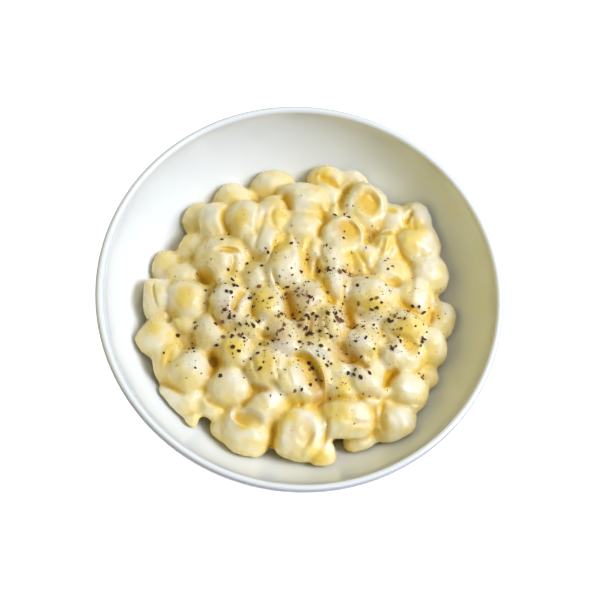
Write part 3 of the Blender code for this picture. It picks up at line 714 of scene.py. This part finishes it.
# How a fold is formed: the reach of its lower side and the margin in which it is looked for
# (mm), the share of its length that each end fades over and what is left at the very end, how
# sharply its lower side starts, and its raised lip: height against the step, against the
# groove's depth, and place and width in half widths of the groove
FOLD_SAMPLES = 40
FOLD_REACH = 3.2
FOLD_MARGIN = 8.0
FOLD_TAPER = 0.22
FOLD_END = 0.25
FOLD_SHARPNESS = 1.5
FOLD_LIP = 0.16
FOLD_GROOVE_LIP = 0.4
FOLD_LIP_PLACE = 2.0
FOLD_LIP_WIDTH = 1.2

# How wide a fold's golden band of bare pasta and painted shade is in half widths of its groove,
# and how golden its lower side is painted, as shade under the edge that lies over it
FOLD_BAND = 1.25
FOLD_SIDE_TINT = 0.7


def fold_line(fold):
    """Points along a fold's curve, the way that it runs at each, and their share of it."""
    start = np.array((fold.x1, fold.y1))
    middle = np.array((fold.x2, fold.y2))
    end = np.array((fold.x3, fold.y3))
    control = 2.0 * middle - (start + end) / 2.0
    share = np.linspace(0.0, 1.0, FOLD_SAMPLES)[:, None]
    points = (1 - share) ** 2 * start + 2 * share * (1 - share) * control + share ** 2 * end
    way = 2 * (1 - share) * (control - start) + 2 * share * (end - control)
    return points, way / np.linalg.norm(way, axis=1)[:, None], share[:, 0]


def fold_effect(places, fold):
    """Which places a fold changes, how far they sink in millimetres, and how golden they turn with
    bare pasta and painted shade.
    """
    points, way, share = fold_line(fold)
    flat = places[:, :2] / MM
    low = points.min(axis=0) - FOLD_MARGIN
    high = points.max(axis=0) + FOLD_MARGIN
    near = np.nonzero(((flat > low) & (flat < high)).all(axis=1))[0]
    away = flat[near][:, None, :] - points[None, :, :]
    distances = np.linalg.norm(away, axis=2)
    closest = distances.argmin(axis=1)
    rows = np.arange(len(near))
    distance = distances[rows, closest]
    offset = away[rows, closest]
    side = np.sign(way[closest, 0] * offset[:, 1] - way[closest, 1] * offset[:, 0])
    across = side * distance / fold.width
    if fold.step < 0.0:
        across = -across
    at = share[closest]
    taper = eased(ramp(np.minimum(at, 1.0 - at), 0.0, FOLD_TAPER))
    taper = FOLD_END + (1.0 - FOLD_END) * taper
    groove = np.exp(-across ** 2)
    lower_side = 0.5 * (1.0 + np.tanh(FOLD_SHARPNESS * across))
    fall = np.exp(-((distance / FOLD_REACH) ** 2))
    lip = np.exp(-((across + FOLD_LIP_PLACE) / FOLD_LIP_WIDTH) ** 2)
    step = abs(fold.step)
    lip_height = FOLD_LIP * (step + FOLD_GROOVE_LIP * fold.depth)
    sink = taper * (fold.depth * groove + step * lower_side * fall - lip_height * lip)
    # The golden band and the fold's lower side: bare pasta and painted shade
    band = np.exp(-(across / FOLD_BAND) ** 2)
    golden = np.maximum(band, FOLD_SIDE_TINT * (step > 0) * lower_side * fall)
    return near, sink, taper * fold.tint * golden


def oval_frame(places, x, y, heading):
    """How far places lie along and across an oval's long axis, seen from above, in mm."""
    angle = math.radians(heading)
    away = places[:, :2] / MM - np.array((x, y))
    along = away[:, 0] * math.cos(angle) + away[:, 1] * math.sin(angle)
    return along, away[:, 1] * math.cos(angle) - away[:, 0] * math.sin(angle)


# How far out a hollow is looked for, its raised rim (height against its depth, place and
# width), how round its edge is, and where its golden bare pasta and painted shade end; places
# are in shares of the way from the deepest place to the oval
HOLLOW_REACH = 1.5
HOLLOW_RIM = 0.10
HOLLOW_RIM_PLACE = 1.14
HOLLOW_RIM_WIDTH = 0.14
HOLLOW_ROUNDING = 1.4
HOLLOW_GOLDEN_RANGE = (0.40, 0.95)
SMALLEST_SQUARE = 1e-9


def hollow_effect(places, hollow):
    """Which places a hollow changes, how far they sink in millimetres, and how golden they turn
    with bare pasta and painted shade.
    """
    along, across = oval_frame(places, hollow.x, hollow.y, hollow.heading)
    spots = np.stack((along / hollow.length, across / hollow.width), axis=1)
    near = np.nonzero((spots ** 2).sum(axis=1) < HOLLOW_REACH ** 2)[0]
    deepest = np.array((hollow.along, hollow.across))
    offset = spots[near] - deepest
    square = np.maximum((offset ** 2).sum(axis=1), SMALLEST_SQUARE)
    lean = offset @ deepest
    # 0 at the deepest place and 1 on the oval, along straight lines between them
    share = square / (np.sqrt(lean ** 2 + square * (1.0 - deepest @ deepest)) - lean)
    inside = np.clip(share, 0.0, 1.0)
    rim = HOLLOW_RIM * np.exp(-((share - HOLLOW_RIM_PLACE) / HOLLOW_RIM_WIDTH) ** 2)
    sink = hollow.depth * ((1.0 - inside ** hollow.flatness) ** HOLLOW_ROUNDING - rim)
    return near, sink, hollow.tint * eased(1.0 - ramp(share, *HOLLOW_GOLDEN_RANGE))


def spots_mask(places, spots, softness):
    """How much each place belongs to a list of oval spots seen from above, from 0 to 1."""
    mask = np.zeros(len(places))
    for x, y, half_x, half_y, *heading in spots:
        along, across = oval_frame(places, x, y, *heading or (0,))
        distance = np.sqrt((along / half_x) ** 2 + (across / half_y) ** 2)
        mask = np.maximum(mask, ramp(-distance, -1.0 - softness, softness - 1.0))
    return eased(mask)


def store(mesh, name, values):
    """Keep one number for each vertex, for the material to read."""
    layer = mesh.attributes.new(name, "FLOAT", "POINT")
    layer.data.foreach_set("value", values.astype(np.float32))


def node(tree, kind, settings=None, links=None):
    """Add a shader node; settings fill its properties or sockets, links feed its sockets."""
    made = tree.nodes.new("ShaderNode" + kind)
    for name, value in (settings or {}).items():
        if isinstance(name, int) or name in made.inputs:
            made.inputs[name].default_value = value
        else:
            setattr(made, name, value)
    for name, source in (links or {}).items():
        tree.links.new(source, made.inputs[name])
    return made


def new_material(name, settings):
    """A material with these settings on its Principled shader, which is joined to the output."""
    material = bpy.data.materials.new(name)
    material.use_nodes = True
    material.node_tree.nodes.clear()
    shader = node(material.node_tree, "BsdfPrincipled", settings)
    node(material.node_tree, "OutputMaterial", links={"Surface": shader.outputs[0]})
    return material, shader


def make_sauce_material(settings):
    """Cheese sauce: a white roux sauce with melted cheese, poured hot and still wet. It is
    milky, so light goes a few millimetres in, and its skin is smooth and glossy. Where it is
    thin, the yellow durum pasta shows through. Painted shade makes corners, low places, steep
    sides and gaps far down yellower and darker; the golden marks are bare pasta and painted
    shade, the white marks thicker sauce and painted highlights, and the brown marks pepper
    stains and painted shade."""
    material, shader = new_material("cheese_sauce_on_pasta", {
        "IOR": 1.40, "Subsurface Weight": 0.6, "Subsurface Radius": (1.0, 0.96, 0.66),
        "Subsurface Scale": 0.0016,
    })
    tree = material.node_tree
    place = node(tree, "TexCoord").outputs["Object"]
    # The sauce runs thick and thin over about 9 mm, with finer streaks in it
    thickness = node(
        tree, "TexNoise", {"Scale": 110.0, "Detail": 3.0, "Roughness": 0.5}, {"Vector": place}
    ).outputs["Fac"]
    thin = node(
        tree, "MapRange", {"From Min": 0.37, "From Max": 0.65, "interpolation_type": "SMOOTHSTEP"},
        {"Value": thickness},
    )
    colour = node(
        tree, "Mix", {"data_type": "RGBA", 6: settings.sauce, 7: settings.thin_sauce},
        {0: thin.outputs[0]},
    ).outputs[2]
    # Marks over the sauce: recess and deep are painted shade; golden is bare pasta with painted
    # shade; the brown marks are pepper stains with painted shade; the white marks are thicker sauce
    # with painted highlights
    for name, shown in (
        ("recess", settings.recess_shade),
        ("thick_and_highlight", settings.thick_sauce_and_highlight),
        ("yellow", settings.yellow_pasta),
        ("golden", settings.golden_pasta_and_shade),
        ("deep", settings.deep_gap_shade),
        ("stain_and_shade", settings.stain_and_shade),
    ):
        mark = node(tree, "Attribute", {"attribute_name": name}).outputs["Fac"]
        mixed = node(tree, "Mix", {"data_type": "RGBA", 7: shown}, {0: mark, 6: colour})
        colour = mixed.outputs[2]
    # Grain of the melted cheese, about 2 mm
    grain = node(tree, "TexNoise", {"Scale": 520.0, "Detail": 2.0}, {"Vector": place})
    bump = node(
        tree, "Bump", {"Strength": 0.14, "Distance": 0.0004}, {"Height": grain.outputs["Fac"]}
    )
    gloss = node(
        tree, "MapRange", {"From Min": 0.3, "From Max": 0.7, "To Min": 0.17, "To Max": 0.38},
        {"Value": thickness},
    )
    tree.links.new(colour, shader.inputs["Base Color"])
    tree.links.new(bump.outputs[0], shader.inputs["Normal"])
    tree.links.new(gloss.outputs[0], shader.inputs["Roughness"])
    return material


def make_porcelain_material(settings):
    """Porcelain under a clear feldspar glaze, fired glossy: a cool white with a mirror-like
    skin. The body below is slightly uneven in tone, which the eye reads as glaze that is
    thicker in places. A grey line of painted shade follows the lip's outer edge, and a faint
    painted shade lies over the rest of the outside."""
    material, shader = new_material("glazed_porcelain", {
        "Roughness": 0.16, "IOR": 1.5, "Coat Weight": 0.3, "Coat Roughness": 0.05,
    })
    tree = material.node_tree
    place = node(tree, "TexCoord").outputs["Object"]
    # The tone changes over about 7 cm, and the skin swells over about 17 mm
    tone = node(tree, "TexNoise", {"Scale": 14.0, "Detail": 2.0}, {"Vector": place})
    colour = node(
        tree, "Mix", {"data_type": "RGBA", 6: settings.glaze, 7: settings.glaze_shade},
        {0: tone.outputs["Fac"]},
    )
    # Painted shade along the lip's outer edge and, faintly, over the outside
    thin = node(tree, "Attribute", {"attribute_name": "painted_lip_shade"})
    glaze = node(
        tree, "Mix", {"data_type": "RGBA", 7: settings.painted_lip_shade},
        {0: thin.outputs["Fac"], 6: colour.outputs[2]},
    )
    swell = node(tree, "TexNoise", {"Scale": 60.0, "Detail": 1.0}, {"Vector": place})
    bump = node(
        tree, "Bump", {"Strength": 0.05, "Distance": 0.0005}, {"Height": swell.outputs["Fac"]}
    )
    tree.links.new(glaze.outputs[2], shader.inputs["Base Color"])
    tree.links.new(bump.outputs[0], shader.inputs["Normal"])
    return material


def make_pepper_material(name, colour, depth):
    """Black pepper, cracked in a mill: dry husk, matt and wrinkled, so its tone is broken."""
    material, shader = new_material(name, {"Roughness": 0.75, "Specular IOR Level": 0.25})
    tree = material.node_tree
    place = node(tree, "TexCoord").outputs["Object"]
    # Wrinkles, about 0.7 mm
    speckle = node(tree, "TexNoise", {"Scale": 1400.0, "Detail": 2.0}, {"Vector": place})
    darker = tuple(c * depth for c in colour[:3]) + (1.0,)
    tone = node(
        tree, "Mix", {"data_type": "RGBA", 6: colour, 7: darker}, {0: speckle.outputs["Fac"]}
    )
    bump = node(
        tree, "Bump", {"Strength": 0.4, "Distance": 0.0002}, {"Height": speckle.outputs["Fac"]}
    )
    tree.links.new(tone.outputs[2], shader.inputs["Base Color"])
    tree.links.new(bump.outputs[0], shader.inputs["Normal"])
    return material


# Painted shade under the lip: how far down it fades (m), and how much of it is left lower on the
# outside
LIP_SHADE_BAND = 0.003
OUTSIDE_SHADE_LEFT = 0.1
SHARP_ANGLE = math.radians(50)


class MAC_OT_bowl(bpy.types.Operator):
    """Make the porcelain bowl in the place of its solid"""

    bl_idname = "mac.bowl"
    bl_label = "Porcelain Bowl"

    def execute(self, context):
        settings = context.scene.mac_bowl
        bowl = turned("porcelain_bowl", bowl_profile(settings), BOWL_SEGMENTS)
        store(bowl.data, "painted_lip_shade", self.painted_lip_shade(bowl.data, settings))
        bowl.data.materials.append(make_porcelain_material(settings))
        bowl.data.set_sharp_from_angle(angle=SHARP_ANGLE)
        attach(bowl, "root")
        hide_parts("bowl")
        return {"FINISHED"}

    @staticmethod
    def painted_lip_shade(mesh, settings):
        """Painted shade on the lip's outer edge, from 0 to 1; less farther down the outside."""
        places = mesh_arrays(mesh)[0]
        radius = np.hypot(places[:, 0], places[:, 1])
        half = settings.wall / 2
        past_crest = ramp(radius, RIM_RADIUS - half, RIM_RADIUS)
        below = BOWL_HEIGHT - half - places[:, 2]
        outside = radius > inner_radius(settings, places[:, 2]) + half
        fading = np.exp(-np.maximum(below, 0.0) / LIP_SHADE_BAND)
        run_off = OUTSIDE_SHADE_LEFT + (1.0 - OUTSIDE_SHADE_LEFT) * fading
        return np.where(below < 0.0, past_crest ** 2, outside * run_off)


SMOOTH_STEPS = 2
SETTLE_STEPS = 2
PRESSED_STEPS = 1
MASK_STEPS = 60
DENT = 0.0008
DENT_SIZE = 0.0085
DENT_SOFTNESS = 0.004
DENT_LEVEL = 0.22
SKIN_RIPPLE = 0.00030
SKIN_RIPPLE_SIZE = 0.0028
UPWARD = 0.3
HEAP_TRIANGLES = 190000

# Where each mark on the heap starts and is full: by how far a place lies below its
# surroundings (corner, sunk) or below the crown (low, deep), all in metres, and by how far
# its normal leans (steep)
CORNER_RANGE = (-0.0001, 0.0009)
SUNK_RANGE = (0.0, 0.0006)
LOW_RANGE = (0.003, 0.009)
DEEP_RANGE = (0.012, 0.018)
STEEP_RANGE = (0.08, 0.68)

# How strongly corners, low places and steep sides take the recesses' painted shade (on steep
# sides partly thinner sauce), and the most of the painted shade deep down
CORNER_SHARE = 0.75
LOW_SHARE = 0.5
STEEP_SHARE = 0.38
DEEP_SHARE = 0.85

# How golden the bare pasta and painted shade show: in every spot or fold, and added where it is
# sunk or low
SPOT_GOLDEN = 0.45
FOLD_GOLDEN = 0.55
HOLLOW_GOLDEN = 0.9
SUNK_GOLDEN = 0.6
LOW_GOLDEN = 0.7
GOLDEN_SOFTNESS = 0.45

# The marks that lie in oval spots: the spots, how soft their edges are and how strong they are;
# the white spots are partly painted highlights and the brown ones partly painted shade
SPOT_MARKS = {
    "thick_and_highlight": (THICK_SAUCE_AND_HIGHLIGHTS, 0.7, 0.55),
    "yellow": (YELLOW, 0.6, 0.7),
    "stain_and_shade": (STAINS_AND_SHADE, 0.9, 0.35),
}


def heap_parts(bowl, settings):
    """Points and faces of every piece of the heap: core, shells and pooled sauce."""
    grow = settings.web
    yield core_shape(bowl, grow)
    shell_faces = ring_faces(TOP_RINGS + UNDER_RINGS, SHELL_SEGMENTS)
    pool_faces = ring_faces(POOL_RINGS, POOL_SEGMENTS)
    pieces = [(placed_shell(shell, settings, grow), shell_faces) for shell in SHELLS]
    pieces += [(pool_points(pool, grow), pool_faces) for pool in POOLS]
    for points, faces in pieces:
        points = softened(points, settings.unevenness)
        yield inside_bowl(points, bowl, WALL_CLEARANCE + grow), faces


class MAC_OT_heap(bpy.types.Operator):
    """Make the shells in their sauce in the place of their solid"""

    bl_idname = "mac.heap"
    bl_label = "Shells in Sauce"

    def execute(self, context):
        scene = context.scene
        settings = scene.mac_heap
        noise.seed_set(NOISE_SEED)
        verts = []
        faces = []
        for points, piece_faces in heap_parts(scene.mac_bowl, settings):
            start = len(verts)
            verts += list(points)
            faces += [tuple(start + k for k in face) for face in piece_faces]
        heap = make_object("shells_in_cheese_sauce", verts, faces)
        # One skin of even faces over all the pieces
        remade(heap, "REMESH", mode="VOXEL", voxel_size=settings.voxel)
        places, _, edges = mesh_arrays(heap.data)
        set_places(heap.data, relaxed(places, edges, SMOOTH_STEPS))
        places, normals, _ = mesh_arrays(heap.data)
        places = places - normals * settings.web
        set_places(heap.data, relaxed(places, edges, SETTLE_STEPS))
        self.ripple(heap.data)
        self.fold(heap.data)
        heap.data.calc_loop_triangles()
        kept = min(1.0, HEAP_TRIANGLES / len(heap.data.loop_triangles))
        remade(heap, "DECIMATE", ratio=kept, use_collapse_triangulate=True)
        self.paint(heap.data)
        heap.data.shade_smooth()
        heap.data.materials.clear()
        heap.data.materials.append(make_sauce_material(settings))
        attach(heap, "root")
        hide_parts("mac_and_cheese")
        return {"FINISHED"}

    @staticmethod
    def ripple(mesh):
        """Give the soft pasta its shallow dents and creases, and the sauce its uneven skin."""
        places, normals, _ = mesh_arrays(mesh)
        lift = np.zeros(len(places))
        for i, place in enumerate(places):
            spot = Vector(place)
            dent = noise.noise(spot / DENT_SIZE)
            lift[i] = DENT * (math.sqrt(dent * dent + DENT_SOFTNESS) - DENT_LEVEL)
            lift[i] += SKIN_RIPPLE * noise.noise(spot / SKIN_RIPPLE_SIZE)
        set_places(mesh, places + normals * lift[:, None])

    @staticmethod
    def fold(mesh):
        """Press the folds and hollows into the upper side of the heap."""
        places, normals, edges = mesh_arrays(mesh)
        sink = np.zeros(len(places))
        for effect, rows in ((fold_effect, FOLDS), (hollow_effect, HOLLOWS)):
            for row in rows:
                near, depth, _ = effect(places, row)
                sink[near] += depth
        places[:, 2] -= MM * sink * ramp(normals[:, 2], 0.0, UPWARD)
        set_places(mesh, relaxed(places, edges, PRESSED_STEPS))

    @staticmethod
    def paint(mesh):
        """Mark where the sauce is thin, where pasta shows and where pepper has stained, and where
        shade and highlights are painted.
        """
        places, normals, edges = mesh_arrays(mesh)
        below = ((relaxed(places, edges, MASK_STEPS) - places) * normals).sum(axis=1)
        depth = crown(places[:, 0], places[:, 1]) - places[:, 2]
        corner = ramp(below, *CORNER_RANGE)
        sunk = SUNK_GOLDEN * ramp(below, *SUNK_RANGE)
        low = ramp(depth, *LOW_RANGE)
        steep = ramp(1.0 - normals[:, 2], *STEEP_RANGE)
        # Golden: bare pasta, with more painted shade where a place is sunk or low
        golden = np.minimum(SPOT_GOLDEN + sunk + LOW_GOLDEN * low, 1.0)
        golden *= spots_mask(places, GOLDEN, GOLDEN_SOFTNESS)
        for effect, rows, shown in (
            (fold_effect, FOLDS, np.minimum(FOLD_GOLDEN + sunk, 1.0)),
            (hollow_effect, HOLLOWS, np.full(len(places), HOLLOW_GOLDEN)),
        ):
            for row in rows:
                near, _, tint = effect(places, row)
                golden[near] = np.maximum(golden[near], tint * shown[near])
        # Painted shade: yellower and darker in corners, low places and steep sides, on steep sides
        # partly thinner sauce
        recess = CORNER_SHARE * corner + LOW_SHARE * low + STEEP_SHARE * steep
        store(mesh, "recess", np.minimum(recess, 1.0))
        store(mesh, "golden", golden)
        # Painted shade far down beside the wall
        store(mesh, "deep", np.minimum(ramp(depth, *DEEP_RANGE), DEEP_SHARE))
        for name, (spots, softness, strength) in SPOT_MARKS.items():
            store(mesh, name, spots_mask(places, spots, softness) * strength)


FLAKE_FLATNESS = (0.35, 0.75)
FLAKE_STRETCH = (0.8, 1.6)
FLAKE_UNEVEN = (0.6, 1.3)
FLAKE_SINK = 0.25
PEPPER_MIDDLE = (6.0, -6.0)
PEPPER_SPREAD = (28.0, 17.0)
PEPPER_REACH = 63.0
PEPPER_SEED = 11
KERNEL_SHARE = 0.28

# The larger this power, the more of the flakes are fine
CLUSTER_FINENESS = 2.2
LOOSE_FINENESS = 2.7

# How dark the wrinkles of husk and kernel are against their colour
HUSK_WRINKLES = 0.45
KERNEL_WRINKLES = 0.5


class MAC_OT_pepper(bpy.types.Operator):
    """Scatter ground black pepper over the heap"""

    bl_idname = "mac.pepper"
    bl_label = "Ground Pepper"

    def execute(self, context):
        settings = context.scene.mac_pepper
        heap = bpy.data.objects.get("shells_in_cheese_sauce")
        if heap is None:
            raise RuntimeError("make the shells in sauce before the pepper")
        tree = BVHTree.FromPolygons(
            [v.co.copy() for v in heap.data.vertices],
            [tuple(p.vertices) for p in heap.data.polygons],
        )
        draw = random.Random(PEPPER_SEED)
        shapes = {"pepper_husk": ([], []), "pepper_kernel": ([], [])}
        for x, y, size in self.places(draw, settings):
            above = Vector((x * MM, y * MM, 2.0 * BOWL_HEIGHT))
            spot, normal = tree.ray_cast(above, along_z(-1.0))[:2]
            if spot is None:
                continue
            name = "pepper_kernel" if draw.random() < KERNEL_SHARE else "pepper_husk"
            self.add_flake(shapes[name], draw, spot, normal, size)
        for name, colour, wrinkles in (
            ("pepper_husk", settings.dark, HUSK_WRINKLES),
            ("pepper_kernel", settings.tan, KERNEL_WRINKLES),
        ):
            flakes = make_object(name, *shapes[name])
            flakes.data.shade_flat()
            material = make_pepper_material("black_" + name, colour, wrinkles)
            flakes.data.materials.append(material)
            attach(flakes, "root")
        return {"FINISHED"}

    @staticmethod
    def places(draw, settings):
        """Middle and size of every flake."""
        span = settings.largest / settings.smallest
        found = []
        for x, y, spread, count in PEPPER_CLUSTERS:
            for _ in range(count):
                size = settings.smallest * span ** (draw.random() ** CLUSTER_FINENESS)
                found.append((draw.gauss(x, spread), draw.gauss(y, spread), size))
        while len(found) < settings.loose + sum(c[3] for c in PEPPER_CLUSTERS):
            x = draw.gauss(PEPPER_MIDDLE[0], PEPPER_SPREAD[0])
            y = draw.gauss(PEPPER_MIDDLE[1], PEPPER_SPREAD[1])
            if math.hypot(x, y) < PEPPER_REACH:
                size = settings.smallest * span ** (draw.random() ** LOOSE_FINENESS)
                found.append((x, y, size))
        return found

    @staticmethod
    def add_flake(shape, draw, spot, normal, size):
        """One cracked, angular flake that lies on the sauce and is sunk a little into it."""
        verts, faces = shape
        chip = bmesh.new()
        bmesh.ops.create_icosphere(chip, subdivisions=1, radius=size / 2)
        stretch = draw.uniform(*FLAKE_STRETCH)
        flat = draw.uniform(*FLAKE_FLATNESS)
        spin = Matrix.Rotation(draw.uniform(0.0, 2.0 * math.pi), 3, "Z")
        tip = along_z(1.0).rotation_difference(normal).to_matrix()
        start = len(verts)
        for v in chip.verts:
            p = v.co * draw.uniform(*FLAKE_UNEVEN)
            p = Vector((p.x * stretch, p.y / stretch, p.z * flat))
            verts.append(tip @ (spin @ p) + spot + normal * size * flat * (0.5 - FLAKE_SINK))
        faces += [tuple(start + v.index for v in f.verts) for f in chip.faces]
        chip.free()


FLOOR_SIZE = 12.0
PICTURE_WIDTH = 600
SENSOR_WIDTH = 36.0

# How far right of and above the picture's middle the middle of the rim lies, in pixels
RIM_MIDDLE_OFFSET = (1.4, -10.4)


class MAC_OT_stage(bpy.types.Operator):
    """Make the floor, the lights and the camera"""

    bl_idname = "mac.stage"
    bl_label = "Stage"

    def execute(self, context):
        settings = context.scene.mac_stage
        self.make_floor(settings)
        self.make_lights(context.scene)
        self.make_camera(context.scene, settings)
        return {"FINISHED"}

    @staticmethod
    def make_floor(settings):
        """A matt white paper sweep, lit a little coolly so that the warm light leaves no tint."""
        half = FLOOR_SIZE / 2
        corners = [(-half, -half, 0), (half, -half, 0), (half, half, 0), (-half, half, 0)]
        floor = make_object("floor", corners, [(0, 1, 2, 3)])
        material, _ = new_material("matt_white_paper", {
            "Base Color": settings.floor, "Roughness": 0.9,
            "Emission Color": (0.85, 0.86, 1.0, 1.0), "Emission Strength": 0.73,
        })
        floor.data.materials.append(material)
        floor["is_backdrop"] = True

    @staticmethod
    def make_lights(scene):
        """A cool key from the right, a wide light from above, a warm glow from the left and a
        dim room. Each light is a square of this size (m), one metre from the rim's middle."""
        for name, direction, size, power, colour in (
            ("key", (1.0, 0.0, 1.05), 0.45, 8.2, (0.94, 1.0, 1.18)),
            ("top", (0.46, 0.38, 1.0), 1.2, 5.4, (0.98, 1.0, 1.03)),
            ("glow", (-1.0, -0.04, 0.5), 0.8, 2.35, (1.0, 0.88, 0.16)),
        ):
            lamp = bpy.data.lights.new(name, "AREA")
            lamp.size = size
            lamp.energy = power
            lamp.color = colour
            item = bpy.data.objects.new(name, lamp)
            scene.collection.objects.link(item)
            away = Vector(direction).normalized()
            item.location = along_z(BOWL_HEIGHT) + away
            item.rotation_euler = away.to_track_quat("Z", "Y").to_euler()
        world = bpy.data.worlds.new("soft_room")
        world.use_nodes = True
        background = world.node_tree.nodes["Background"]
        background.inputs["Color"].default_value = linear("EEF0E6")
        background.inputs["Strength"].default_value = 0.06
        scene.world = world
        scene.view_settings.view_transform = "Standard"

    @staticmethod
    def make_camera(scene, settings):
        """A camera that looks down on the middle of the rim, turned a little about its axis."""
        forward = Vector((0.0, math.cos(settings.elevation), -math.sin(settings.elevation)))
        level = Vector((1.0, 0.0, 0.0))
        up = level.cross(forward)
        right = math.cos(settings.tilt) * level + math.sin(settings.tilt) * up
        upward = math.cos(settings.tilt) * up - math.sin(settings.tilt) * level
        rim_middle = along_z(BOWL_HEIGHT)
        place = rim_middle - settings.distance * forward
        per_pixel = settings.distance * SENSOR_WIDTH / settings.focal_length / PICTURE_WIDTH
        shift = right * RIM_MIDDLE_OFFSET[0] - upward * RIM_MIDDLE_OFFSET[1]
        look = (rim_middle - shift * per_pixel - place).normalized()
        right = (right - look * right.dot(look)).normalized()
        upward = right.cross(look)
        camera = bpy.data.cameras.new("camera")
        camera.sensor_width = SENSOR_WIDTH
        camera.lens = settings.focal_length
        camera.clip_start = 0.01
        item = bpy.data.objects.new("camera", camera)
        scene.collection.objects.link(item)
        item.matrix_world = Matrix((right, upward, -look)).transposed().to_4x4()
        item.location = place
        scene.camera = item


class MAC_PT_panel(bpy.types.Panel):
    """Buttons for each piece, in the order that they are made"""

    bl_label = "Mac and Cheese"
    bl_space_type = "VIEW_3D"
    bl_region_type = "UI"
    bl_category = "Mac and Cheese"

    def draw(self, context):
        for operator in OPERATORS:
            self.layout.operator(operator.bl_idname)


OPERATORS = (MAC_OT_bowl, MAC_OT_heap, MAC_OT_pepper, MAC_OT_stage)


def register():
    """Make the settings, buttons and panel known."""
    for kind in (*SETTINGS.values(), *OPERATORS, MAC_PT_panel):
        bpy.utils.register_class(kind)
    for name, kind in SETTINGS.items():
        setattr(bpy.types.Scene, name, bpy.props.PointerProperty(type=kind))


def unregister():
    """Take the settings, buttons and panel away again."""
    for name in SETTINGS:
        delattr(bpy.types.Scene, name)
    for kind in reversed((*SETTINGS.values(), *OPERATORS, MAC_PT_panel)):
        bpy.utils.unregister_class(kind)


def main():
    """Make every piece."""
    register()
    bpy.ops.mac.bowl()
    bpy.ops.mac.heap()
    bpy.ops.mac.pepper()
    bpy.ops.mac.stage()
    boxes = {"cad": CAD_BOX, "shown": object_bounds()}
    {name: [list(low), list(high)] for name, (low, high) in boxes.items()}


if __name__ == "__main__":
    main()
